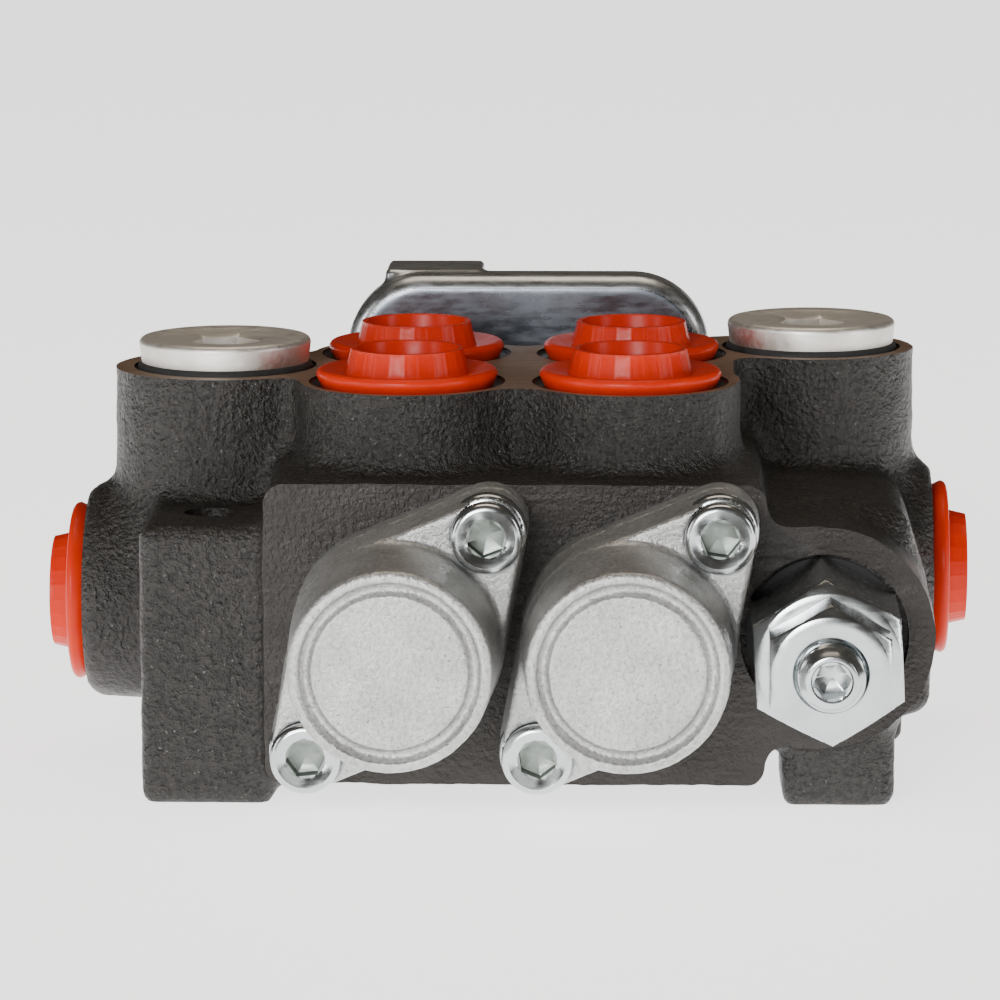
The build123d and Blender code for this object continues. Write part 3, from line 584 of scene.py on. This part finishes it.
def roughen(mesh, layers):
    """Uneven the surface of a mesh: layers are (waves per millimetre, height in millimetres)."""
    places = np.zeros(3 * len(mesh.vertices), np.float32)
    normals = np.zeros_like(places)
    mesh.vertices.foreach_get("co", places)
    mesh.vertex_normals.foreach_get("vector", normals)
    places, normals = places.reshape(-1, 3), normals.reshape(-1, 3)
    rises = [sum(height * noise.noise(place * waves) for waves, height in layers)
             for place in map(Vector, places / MM)]
    places += normals * np.array(rises)[:, None] * MM
    mesh.vertices.foreach_set("co", places.astype(np.float32).ravel())
    mesh.update()


# ------------------------------------------------------------------ cast body
PORT_BOSS_R = 16.7
PAD_HALF_X = 38.4
PAD_TOP, PAD_BOTTOM = 50.5, 3.7
BELLY_Z = 3.3
SIDE_BOSS_R = 17.0
FOOT_HOLE_Y = 25.0
FOOT_HOLE_X = 47.7
EAR_X, EAR_Z = 13.7, 16.9      # cap screws from the spool axis
BRACKET_SCREWS = ((-21, 11.5), (21, 11.5), (-22, 45), (22, 45))
FOOT_TOP = 43.5
OVER = 0.7                     # stock left on the faces that are machined afterwards


def casting_field(p):
    """Distance field of the raw casting, with stock on its machined faces."""
    side_l, side_r = side_ports["left"], side_ports["right"]
    port_x, port_y = spool_xs["2"], ports["b2"].y

    core = rounded_box(p, (-PAD_HALF_X + 0.4, front_y + 2, BELLY_Z), (PAD_HALF_X - 0.4, rear_y - 2, PAD_TOP - 0.2), 2)
    pad_mid, pad_half = (PAD_TOP + PAD_BOTTOM) / 2, (PAD_TOP - PAD_BOTTOM) / 2
    for start, end in ((front_y - 3, front_y + 4), (rear_y - 4, rear_y + 3)):
        pad = rounded_plate(p, 1, (0, pad_mid), (PAD_HALF_X, pad_half), 3, start, end, 0.3)
        core = joined(core, pad, 1.2)

    # work port bosses, run together at the top
    bosses = rounded_box(p, (-port_x - PORT_BOSS_R + 0.3, -port_y, 34), (port_x + PORT_BOSS_R - 0.3, port_y, 70), 3)
    spine = rounded_box(p, (-port_x, -port_y - 8, 34), (port_x, port_y + 8, 70), 3)
    bosses = joined(bosses, spine, 3)
    for place in ports.values():
        bosses = joined(bosses, rod(p, 2, (place.x, place.y), PORT_BOSS_R, 34, 70, 1), 3.5)
    body = joined(core, bosses, 5)

    # plug bosses over the galleries, and the side ports below them
    for name, boss_r in (("left", 17.5), ("right", 16.7)):
        plug, port, end = plugs[name], side_ports[name], side_ends[name]
        inward = -1 if end > 0 else 1
        tower = rod(p, 2, (plug.x, plug.y), boss_r, port.z - 14, 70, 1)
        neck_x = plug.x + inward * 9
        neck = rounded_box(p, (min(plug.x, neck_x + inward * 9), plug.y - 12, port.z - 10),
                           (max(plug.x, neck_x + inward * 9), plug.y + 11, 70), 3)
        tower = joined(tower, neck, 4)
        reach = sorted((end - inward * OVER, end + inward * 36))
        barrel = rod(p, 0, (port.y, port.z), SIDE_BOSS_R, *reach, 3.2)
        body = joined(body, joined(tower, barrel, 5), 5)

    # left feet and the wall between them
    foot_low, foot_high = side_l.x + 12.9, -PAD_HALF_X + 1
    for start, end in ((front_y + 2, front_y + 27), (rear_y - 27, rear_y - 2)):
        foot = rounded_box(p, (foot_low, start, -OVER), (foot_high, end, FOOT_TOP), 2.6)
        body = joined(body, foot, 3.5)
    body = joined(body, rounded_box(p, (foot_low + 3, -16, BELLY_Z), (foot_high, 16, side_l.z), 2), 3)

    # right side wall with its feet
    for start, end in ((front_y + 2.5, front_y + 27.5), (rear_y - 27, rear_y - 2)):
        body = joined(body, rounded_box(p, (41.1, start, -OVER), (58.5, end, 18), 2.6), 3)
    body = joined(body, rounded_box(p, (36, -8, BELLY_Z), (61, rear_y - 2, side_r.z), 2), 3)
    body = joined(body, rounded_box(p, (44, 9, BELLY_Z + 1), (66.5, rear_y - 1, side_r.z + 3), 3), 4)

    # relief valve boss, tangent to the front pad, and the shoulder behind it
    boss = rod(p, 1, (relief.x, relief.z), SIDE_BOSS_R, front_y - 3, 9, 1.0)
    web = rounded_box(p, (relief.x - 17, front_y - 3, relief.z - SIDE_BOSS_R), (relief.x, 6, relief.z + SIDE_BOSS_R), 1.0)
    shoulder = rounded_box(p, (34, -22, 20), (61, 14, 44), 4)
    body = joined(body, joined(joined(boss, web, 1.0), shoulder, 5), 4)
    stock = [[c + OVER * sign for c in corner] for corner, sign in ((body_low, -1), (body_high, 1))]
    return np.maximum(body, rounded_box(p, *stock, 0.1))


def port_cutter(mouth, r_face, face_deep, r_mouth, mouth_deep, r_thread, thread_deep, r_bore, bore_deep):
    """Cutter for a threaded port: spotface, mouth, thread and bore, down from its mouth."""
    above = 3.0
    profile = [
        (0, above), (r_face, above), (r_face, -face_deep + 0.3), (r_face - 0.3, -face_deep),
        (r_mouth + 0.5, -face_deep), (r_mouth, -face_deep - 0.5), (r_mouth, -face_deep - mouth_deep),
        (r_thread + 0.2, -face_deep - mouth_deep),
        *thread(r_thread, -face_deep - mouth_deep - 0.6, -face_deep - mouth_deep - thread_deep, 1.81, 0.6),
        (r_bore, -face_deep - mouth_deep - thread_deep - 1.5), (r_bore, -bore_deep), (0, -bore_deep - 2),
    ]
    return aimed(turned(profile), mouth[0], mouth[1])


def bore(start, axis, steps):
    """Stepped bore cutter: steps are (radius, depth), widest and shallowest first."""
    profile = [(0, 1.0), (steps[0][0], 1.0)]
    for (radius, depth), (inner, _) in zip(steps, steps[1:] + [(0, 0)]):
        profile += [(radius, -depth), (inner, -depth)]
    return aimed(turned(profile, segments=64), start, tuple(-a for a in axis))


def cast_body():
    """Raw casting, faced where it is machined, then bored and drilled."""
    margin = 3
    lowest = [c - margin for c in body_low]
    highest = [c + margin for c in body_high]
    p = grid(lowest, highest, CAST_STEP)
    mesh = skin("valve_body_visual", casting_field(p), lowest, CAST_STEP)
    roughen(mesh, [(0.11, 0.16), (0.32, 0.12), (0.9, 0.07)])
    mesh.materials.append(MATERIALS["cast_iron"])

    far = 90
    slabs = [block((-39, rear_y, -far), (39, far, far)), block((-far, -far, -far), (far, front_y, far)),
             block((side_ends["right"], -39, -20), (far, 39, 60)), block((-far, -39, -20), (side_ends["left"], 39, 60))]
    for slab in slabs:
        mesh = cut(mesh, [slab], MILLED_DARK)
    mesh = cut(mesh, [block((-far, -far, -far), (far, far, body_low.z))], MILLED_DARK)
    # top faces: milled finish with a painted warm reflection
    mesh = cut(mesh, [block((-far, -far, top_z), (far, far, far))], MILLED_TOP_PAINTED_SHEEN)

    holes = [port_cutter(((place.x, place.y, top_z), (0, 0, 1)), 15.4, 0.6, 10.8, 3.4, 9.5, 13, 6.5, top_z - spool_z)
             for place in ports.values()]
    holes += [port_cutter(((place.x, place.y, top_z), (0, 0, 1)), 14.6, 0.8, 11.0, 0.8, 10.5, 12.4, 6.5, 36)
              for place in plugs.values()]
    mesh = cut(mesh, holes, MILLED_DARK)

    deep = rear_y - front_y
    holes = []
    for x in spool_xs.values():
        holes.append(bore((x, front_y, spool_z), (0, 1, 0), [(12.7, 8.5), (9.02, deep - 4), (12.0, deep + 2)]))
        for side in (1, -1):
            place = (x + side * EAR_X, front_y, spool_z + side * EAR_Z)
            holes.append(bore(place, (0, 1, 0), [(3.05, 15)]))
    holes.append(bore((relief.x, front_y, relief.z), (0, 1, 0), [(12.9, 3.0), (9.5, 20), (8.0, 38), (4.0, 43)]))
    holes.append(bore((check.x, check.y, BELLY_Z - 0.5), (0, 0, 1), [(8.0, 8.2), (6.5, 16.2), (4.0, 23.4)]))
    for x in (-FOOT_HOLE_X, FOOT_HOLE_X):
        for y in (-FOOT_HOLE_Y, FOOT_HOLE_Y):
            holes.append(bore((x, y, 0), (0, 0, 1), [(4.25, FOOT_TOP + 2 if x < 0 else 12)]))
    for x, z in BRACKET_SCREWS:
        holes.append(bore((x, rear_y, z), (0, -1, 0), [(3.05, 12)]))
    mesh = cut(mesh, holes, MILLED_DARK)

    holes = []
    for name, inward, bore_deep in (("left", 1, 117), ("right", -1, 51)):
        port = side_ports[name]
        mouth = ((side_ends[name], port.y, port.z), (-inward, 0, 0))
        holes.append(port_cutter(mouth, 14.4, 0.0, 10.8, 3.4, 9.5, 13, 5.0, bore_deep))
    mesh = cut(mesh, holes, MILLED_DARK)
    return stand_in("valve_body", mesh, sharp=38)


cast_body()


# ------------------------------------------------------------------ die-cast spool caps
CAP_FRONT = low("spool_cap_1").y
CAP_FLANGE = front_y - 14.0
CAP_FRONT_R = 15.1
EAR_R = 6.0


def tapered_outline(px, pz, end, r_start, r_end):
    """Distance in a plane to the hull of two circles, one at the origin and one at end."""
    length = math.hypot(*end)
    ux, uz = end[0] / length, end[1] / length
    along = px * ux + pz * uz
    away = np.abs(px * uz - pz * ux)
    lean = (r_start - r_end) / length
    upright = math.sqrt(1 - lean * lean)
    k = along * upright - away * lean
    near_start = np.sqrt(away ** 2 + along ** 2) - r_start
    near_end = np.sqrt(away ** 2 + (along - length) ** 2) - r_end
    between = away * upright + along * lean - r_start
    return np.where(k < 0, near_start, np.where(k > length * upright, near_end, between))


def spool_cap_mesh(name, x):
    """Flange with two diagonal ears, drafted barrel, and a grooved front face."""
    node = f"spool_cap_{name}"
    step = 0.3
    lowest = [c - 1.5 for c in low(node)]
    highest = [c + 1.5 for c in high(node)]
    p = grid(lowest, highest, step)
    px, py, pz = p[0] - x, p[1], p[2] - spool_z
    hull = tapered_outline(px, pz, (EAR_X, EAR_Z), 16.4, EAR_R)
    hull = np.minimum(hull, tapered_outline(px, pz, (-EAR_X, -EAR_Z), 16.4, EAR_R))
    parting_y = front_y - 4.0
    cap = thick(p, 1, hull + 0.1 + 0.05 * (parting_y - py), CAP_FLANGE, front_y + 1.5, 0.7)
    ragged = 0.12 * np.sin(0.9 * px + 1.7 * np.sin(0.5 * pz)) + 0.1 * np.sin(2.3 * pz + 0.8 * px)
    edge = hull - 0.04 - np.minimum(ragged, 0.0) + 0 * py
    flash = thick(p, 1, edge, parting_y - 0.35, parting_y + 0.35, 0.15)
    cap = joined(cap, flash, 0.4)

    off_axis = np.sqrt(px ** 2 + pz ** 2)
    draft = (15.9 - CAP_FRONT_R) * (CAP_FLANGE - py) / (CAP_FLANGE - CAP_FRONT)
    barrel = thick(p, 1, off_axis - 15.9 + draft, CAP_FRONT, CAP_FLANGE + 4, 0.9)
    cap = joined(cap, barrel, 1.2)

    groove_r = CAP_FRONT_R - 2.6
    groove = np.sqrt((off_axis - groove_r) ** 2 + (0.8 * (py - CAP_FRONT)) ** 2) - 0.95
    cap = without(cap, groove, 0.25)
    dish = thick(p, 1, off_axis - groove_r + 0.2, CAP_FRONT - 3, CAP_FRONT + 0.25, 0.05)
    cap = without(cap, dish, 0.15)
    for side in (1, -1):
        ear = np.sqrt((px - side * EAR_X) ** 2 + (pz - side * EAR_Z) ** 2)
        cap = without(cap, thick(p, 1, ear - 5.3 + 0 * py, CAP_FLANGE - 12, CAP_FLANGE + 4.6, 0.2), 0.4)
        cap = without(cap, thick(p, 1, ear - 3.3 + 0 * py, CAP_FLANGE - 4, front_y + 6, 0.05), 0.1)
    chamber = thick(p, 1, off_axis - 13.0 + 0 * py, -66.0, front_y + 6, 0.4)
    tip_room = thick(p, 1, off_axis - 11.0 + 0 * py, CAP_FRONT + 3, -60, 0.4)
    cap = without(cap, np.minimum(chamber, tip_room), 0.2)
    mesh = skin(f"{node}_visual", cap, lowest, step)
    roughen(mesh, [(0.25, 0.05), (1.1, 0.05)])
    mesh = cut(mesh, [block((-90, front_y, -90), (90, 90, 90))])
    return stand_in(node, mesh, sharp=50)


for number, spool_x in spool_xs.items():
    spool_cap_mesh(number, spool_x)


# ------------------------------------------------------------------ screws and nuts
def cap_screw_shape(head_r, head_h, shank_r, shank_len, socket_af, socket_deep):
    """Socket head screw along +Z with its head standing on the XY plane."""
    tip = -shank_len
    hex_r = socket_af / 2 / math.cos(math.pi / 6)
    outside = softened(
        [(0, tip), (shank_r - 0.7, tip), (shank_r, tip + 0.7), (shank_r, 0), (head_r - 0.15, 0),
         (head_r, 0.15), (head_r, head_h), (hex_r + 0.35, head_h), (hex_r, head_h - 0.3)], {6: 0.55})
    socket = [(20, head_h - h, ("hex", socket_af)) for h in (0.34, socket_deep)]
    return turned([*outside, *socket, (0, head_h - socket_deep - 0.9)])


def washer_shape(outer, inner, height):
    """Flat washer standing on the XY plane, its edges broken."""
    corners = [(inner, 0), (outer, 0), (outer, height), (inner, height)]
    loop = softened(corners, {0: 0.08, 1: 0.15, 2: 0.25, 3: 0.12})
    return turned(loop, closed=True, segments=72)


screw_heads = [(x + side * EAR_X, spool_z + side * EAR_Z) for x in spool_xs.values() for side in (1, -1)]
washer_y = high("cap_washers").y
washer_t = high("cap_washers").y - low("cap_washers").y
head_h = low("cap_washers").y - low("cap_screws").y
cap_screw = cap_screw_shape(4.95, head_h, 3.0, 22, 5.2, 3.2)
screws, washers = [], []
for i, (x, z) in enumerate(screw_heads):
    spin = Matrix.Rotation(0.35 + 0.8 * i, 3, "Z")
    spun = [tuple(spin @ Vector(c)) for c in cap_screw[0]], cap_screw[1]
    screws.append(aimed(spun, (x, washer_y - washer_t, z), (0, -1, 0)))
    washers.append(aimed(washer_shape(5.2, 3.2, washer_t), (x, washer_y, z), (0, -1, 0)))
screws_mesh = as_mesh("cap_screws_visual", merged([outward(s) for s in screws]))
# the socket faces of the cap screws take the darker plating, painted shade in the hex recess
refinish(screws_mesh, "cap_screws", SOCKET_PAINTED_SHADE, lambda c, n: c.y < washer_y - washer_t - 1 and any(
    math.hypot(c.x - x, c.z - z) < 3.02 for x, z in screw_heads))
stand_in("cap_screws", screws_mesh)
stand_in("cap_washers", as_mesh("cap_washers_visual", merged([outward(s) for s in washers])))


def chamfered_hex(across_flats, start, end, chamfer=True):
    """Profile entries of a hexagon from start to end height, its far corners turned down."""
    corner = across_flats / 2 / math.cos(math.pi / 6)
    form = ("hex", across_flats)
    entries = [(corner + 1, start, form)]
    if not chamfer:
        return entries + [(corner + 1, end, form)]
    drop = (corner - across_flats / 2 + 0.4) * math.tan(math.radians(30))
    count = 8
    for k in range(count + 1):
        h = end - drop + drop * k / count
        entries.append((corner - (corner - across_flats / 2 + 0.4) * k / count, h, form))
    return entries


seat = high("relief_cartridge").y
hex_back = front_y + 2.4
hex_front = high("relief_lock_nut").y
nut_front = low("relief_lock_nut").y
screw_front = low("relief_adjuster").y

# cartridge: plain hexagon, and behind it the threaded nose with its spring chamber
nose = seat - hex_back
cartridge = [
    (6.6, -nose), (8.6, -nose), *thread(9.4, -nose + 0.8, -1.2, 1.5, 0.6), (9.0, 0),
    *chamfered_hex(22, 0.0, hex_back - hex_front), (9.0, hex_back - hex_front),
    (5.4, hex_back - hex_front), (5.06, hex_back - hex_front - 0.4), (5.06, hex_back - hex_front - 8),
    (6.6, hex_back - hex_front - 8),
]
shape = turned(cartridge, closed=True, turn=math.radians(33))
stand_in("relief_cartridge", as_mesh("relief_cartridge_visual",
                                     outward(aimed(shape, (relief.x, hex_back, relief.z), (0, -1, 0)))))

height = hex_front - nut_front
nut = [(5.06, 0.4), (5.5, 0), (8.6, 0), *chamfered_hex(18, 0.25, height), (7.2, height), (5.7, height),
       (5.06, height - 0.6)]
shape = turned(nut, closed=True, turn=math.radians(30))
stand_in("relief_lock_nut", as_mesh("relief_lock_nut_visual",
                                    outward(aimed(shape, (relief.x, hex_front, relief.z), (0, -1, 0)))))

length = high("relief_adjuster").y - screw_front
adjuster = [
    (0, 0), (4.2, 0), *thread(4.98, 0.8, length - 1.3, 1.5, 0.62), (4.3, length - 0.75), (3.9, length - 0.1),
    (3.75, length), (3.15, length), (2.9, length - 0.35),
    *[(20, length - h, ("hex", 5.0)) for h in (0.4, 5.0)], (0, length - 6.2),
]
shape = turned(adjuster, turn=math.radians(8))
stand_in("relief_adjuster", as_mesh("relief_adjuster_visual",
                                    outward(aimed(shape, (relief.x, high("relief_adjuster").y, relief.z), (0, -1, 0)))))


# ------------------------------------------------------------------ top plugs and port caps
for name, place in plugs.items():
    node = f"top_plug_{name}"
    seat_z = high(f"plug_seal_{name}").z
    head = high(node).z - seat_z
    bottom = low(node).z - seat_z
    plug = [
        (0, bottom), (9.2, bottom), *thread(10.4, bottom + 0.9, -1.2, 1.81, 0.7), (9.6, -0.2), (9.6, 0),
        *softened([(13.0, 0), (13.35, 0.3), (13.35, head), (11.2, head), (10.9, head - 0.12), (6.3, head - 0.12)],
                  {2: 0.6}),
        *[(20, head - h, ("hex", 10.0)) for h in (0.55, 6.5)], (0, head - 7.6),
    ]
    shape = turned(plug, segments=144, turn=math.radians(14))
    stand_in(node, as_mesh(f"{node}_visual", outward(aimed(shape, (place.x, place.y, seat_z), (0, 0, 1)))))
    seal = softened([(10.55, 0), (13.3, 0), (13.3, 1.0), (10.55, 1.0)], {1: 0.3, 2: 0.3, 0: 0.2, 3: 0.2})
    stand_in(f"plug_seal_{name}", as_mesh(f"plug_seal_{name}_visual", outward(aimed(
        turned(seal, closed=True), (place.x, place.y, seat_z - 1.0), (0, 0, 1)))))


def port_cap_shape():
    """Moulded cap along +Z from its seat: flange, ribbed cup open at the top, hollow spigot."""
    flange_h, cup_top = 2.0, 5.9
    ribs = ("ribs", 24, 0.10)
    wall = [(9.5 - 0.7 * k / 6, flange_h + 0.5 + (cup_top - flange_h - 0.9) * k / 6, ribs) for k in range(7)]
    return turned([
        (0, 0.0), (9.0, 0.0), (9.0, -3.0), (9.25, -3.1), (9.9, -3.1), (10.3, -2.6), (10.3, 0.0),
        *softened([(13.4, 0.0), (13.5, 0.1), (13.5, flange_h), (9.75, flange_h)], {2: 0.25}),
        *wall, *softened([(8.8, cup_top), (8.0, cup_top)], {}), (7.9, cup_top - 0.2), (7.75, flange_h), (7.2, 1.4),
        (0, 1.4),
    ], segments=192)


seats = {name: ((place.x, place.y, top_z - 0.6), (0, 0, 1)) for name, place in ports.items()}
seats["left"] = ((side_ends["left"], side_ports["left"].y, side_ports["left"].z), (-1, 0, 0))
seats["right"] = ((side_ends["right"], side_ports["right"].y, side_ports["right"].z), (1, 0, 0))
for name, (place, axis) in seats.items():
    node = f"port_cap_{name}"
    stand_in(node, as_mesh(f"{node}_visual", outward(aimed(port_cap_shape(), place, axis))), sharp=40)


# ------------------------------------------------------------------ lever side
bracket_low, bracket_high = low("lever_bracket"), high("lever_bracket")
WEB_T, RIM_T, RIM_DEEP = 3.0, 2.5, 8.0


def bracket_mesh():
    """Pressed bracket: flat web, a rim turned back all round, and one deeper stop tab."""
    step = 0.4
    lowest = [c - 1.5 for c in bracket_low]
    highest = [c + 1.5 for c in bracket_high]
    p = grid(lowest, highest, step)
    half_x = bracket_high.x
    rim_top = bracket_high.z - 0.6
    mid_z, half_z = (bracket_low.z + rim_top) / 2, (rim_top - bracket_low.z) / 2
    web_y = bracket_low.y
    outer = rounded_plate(p, 1, (0, mid_z), (half_x, half_z), 13, web_y, web_y + RIM_DEEP + 6, 2.9)
    inner = rounded_plate(p, 1, (0, mid_z), (half_x - RIM_T, half_z - RIM_T), 10.5,
                          web_y + WEB_T, web_y + 30, 1.4)
    tray = without(outer, inner, 0.5)
    tray = without(tray, web_y + RIM_DEEP - p[1] + 0 * p[0] + 0 * p[2], 0.9)
    tab = rounded_box(p, (-24.2, web_y + 4, bracket_high.z - 3.1),
                      (-7.8, bracket_high.y, bracket_high.z - 0.1), 0.9)
    tray = joined(tray, tab, 1.2)
    openings = [((x, spool_z), 10.5) for x in spool_xs.values()]
    openings += [(spot, 3.3) for spot in BRACKET_SCREWS]
    for centre, radius in openings:
        tray = without(tray, rod(p, 1, centre, radius, web_y - 5, web_y + 8, 0.1), 0.4)
    mesh = skin("lever_bracket_visual", tray, lowest, step)
    # the upper half of the rim takes the bright plating, a painted highlight
    refinish(mesh, "lever_bracket", RIM_PAINTED_HIGHLIGHT, lambda c, n: n.y > -0.955 and c.z > mid_z)
    return stand_in("lever_bracket", mesh, sharp=60)


bracket_mesh()

web_back = bracket_low.y + WEB_T
bracket_screw = cap_screw_shape(4.95, 6.0, 3.0, 16, 5.2, 3.2)
shapes = [outward(aimed(bracket_screw, (x, web_back, z), (0, 1, 0)))
          for x, z in BRACKET_SCREWS]
stand_in("bracket_screws", as_mesh("bracket_screws_visual", merged(shapes)))

for number, spool_x in spool_xs.items():
    node = f"link_stud_{number}"
    back, front = low(node).y, high(node).y
    length = front - back
    stud = [(0, 0), (2.9, 0), *thread(3.49, 0.6, length - 0.8, 1.0, 0.5), (2.9, length), (0, length)]
    shape = aimed(turned(stud, segments=48), (spool_x, back, spool_z), (0, 1, 0))
    stand_in(node, as_mesh(f"{node}_visual", outward(shape)))

# lever hub: flange, body and threaded stub round a hollow for the gimbal
hub_back = low("lever_hub").y
hub_len = high("lever_hub").y - hub_back
pivot_z = middle("lever_hub").z
hub = [
    (0, 8), (8, 8), (8, 2.6), (11, 2.6), (11, 0.3), (11.3, 0),
    *softened([(16, 0), (16, 5), (10, 5), (10, 13), (4.6, 13)], {0: 0.5, 1: 0.9, 2: 1.2, 3: 1.6}),
    (4.6, 14.4), *thread(4.98, 14.6, hub_len - 0.9, 1.5, 0.62), (4.1, hub_len), (0, hub_len),
]
hub_mesh = as_mesh("lever_hub_visual", outward(aimed(turned(hub), (0, hub_back, pivot_z), (0, 1, 0))))
hub_angles = [math.radians(90 + 120 * k) for k in range(3)]
hub_holes = [(14 * math.cos(a), pivot_z - 14 * math.sin(a)) for a in hub_angles]
hub_mesh = cut(hub_mesh, [bore((x, hub_back - 0.5, z), (0, 1, 0), [(2.1, 7)]) for x, z in hub_holes])
stand_in("lever_hub", hub_mesh)

hub_screw = cap_screw_shape(3.1, 3.6, 2.0, 10, 3.0, 2.0)
shapes = [outward(aimed(hub_screw, (x, hub_back + 5, z), (0, 1, 0))) for x, z in hub_holes]
stand_in("hub_screws", as_mesh("hub_screws_visual", merged(shapes)))


# ------------------------------------------------------------------ pieces whose CAD shape stays
replaced = {name[:-len("_visual")] for name in bpy.data.objects.keys() if name.endswith("_visual")}
for node, obj in frame["nodes"].items():
    if node in replaced:
        continue
    obj.data.materials.clear()
    obj.data.materials.append(MATERIALS[SLOT_OF[node]])
    edge = obj.modifiers.new("edge", "BEVEL")
    edge.width = 0.15 * MM
    edge.segments = 2
    edge.limit_method = "ANGLE"
    edge.angle_limit = math.radians(50)


# ------------------------------------------------------------------ stage, light and camera
def studio_floor():
    """Plain pale table, faintly lit from inside so that it stays bright."""
    finish = Finish("studio_floor")
    finish.colour(finish.ramp(finish.noise(3, 2), [(0.3, (0.86, 0.86, 0.86)), (0.7, (0.90, 0.90, 0.90))]))
    finish.shader.inputs["Roughness"].default_value = 0.7
    finish.shader.inputs["Emission Color"].default_value = (1, 1, 1, 1)
    finish.shader.inputs["Emission Strength"].default_value = 1.9
    half = 6.0
    z = cad_box[0][2]
    mesh = bpy.data.meshes.new("studio_floor")
    corners = [(-half, -half, z), (half, -half, z), (half, half, z), (-half, half, z)]
    mesh.from_pydata(corners, [], [(0, 1, 2, 3)])
    mesh.materials.append(finish.material)
    table = bpy.data.objects.new("studio_floor", mesh)
    bpy.context.scene.collection.objects.link(table)


def softbox(name, place, width, height, power, tint=(1, 1, 1)):
    """Rectangular studio light aimed at the middle of the part."""
    light = bpy.data.lights.new(name, "AREA")
    light.color = tint
    light.shape = "RECTANGLE"
    light.size, light.size_y = width, height
    light.energy = power
    obj = bpy.data.objects.new(name, light)
    obj.location = place
    obj.rotation_euler = (Vector((0, 0, 0.03)) - Vector(place)).to_track_quat("-Z", "Y").to_euler()
    bpy.context.scene.collection.objects.link(obj)


studio_floor()
world = bpy.data.worlds.new("studio")
world.use_nodes = True
bpy.context.scene.world = world
background = world.node_tree.nodes["Background"]
background.inputs["Color"].default_value = (1.0, 0.90, 0.78, 1)
background.inputs["Strength"].default_value = 0.07
softbox("key", (-0.35, -1.35, 0.42), 0.55, 0.4, 15)
softbox("overhead", (0.0, 0.15, 1.0), 0.7, 0.6, 2.5, (1.0, 0.86, 0.70))
softbox("fill_left", (-1.1, -0.5, 0.25), 0.25, 0.6, 3)
softbox("fill_right", (1.1, -0.5, 0.3), 0.25, 0.6, 3)

# the camera stands in front of the spool caps, turned and tipped a little down
CAMERA_YAW, CAMERA_PITCH, CAMERA_ROLL = 1.769, 9.641, -0.099
CAMERA_PLACE = (20.885, -787.83, 175.24)
camera = bpy.data.objects.new("camera", bpy.data.cameras.new("camera"))
camera.data.sensor_width = 36
camera.data.lens = 179.2
camera.location = Vector(CAMERA_PLACE) * MM
yaw = Matrix.Rotation(math.radians(CAMERA_YAW), 3, "Z")
aim = yaw @ Matrix.Rotation(math.radians(90 - CAMERA_PITCH), 3, "X")
camera.rotation_euler = (aim @ Matrix.Rotation(math.radians(CAMERA_ROLL), 3, "Z")).to_euler()
bpy.context.scene.collection.objects.link(camera)
bpy.context.scene.camera = camera
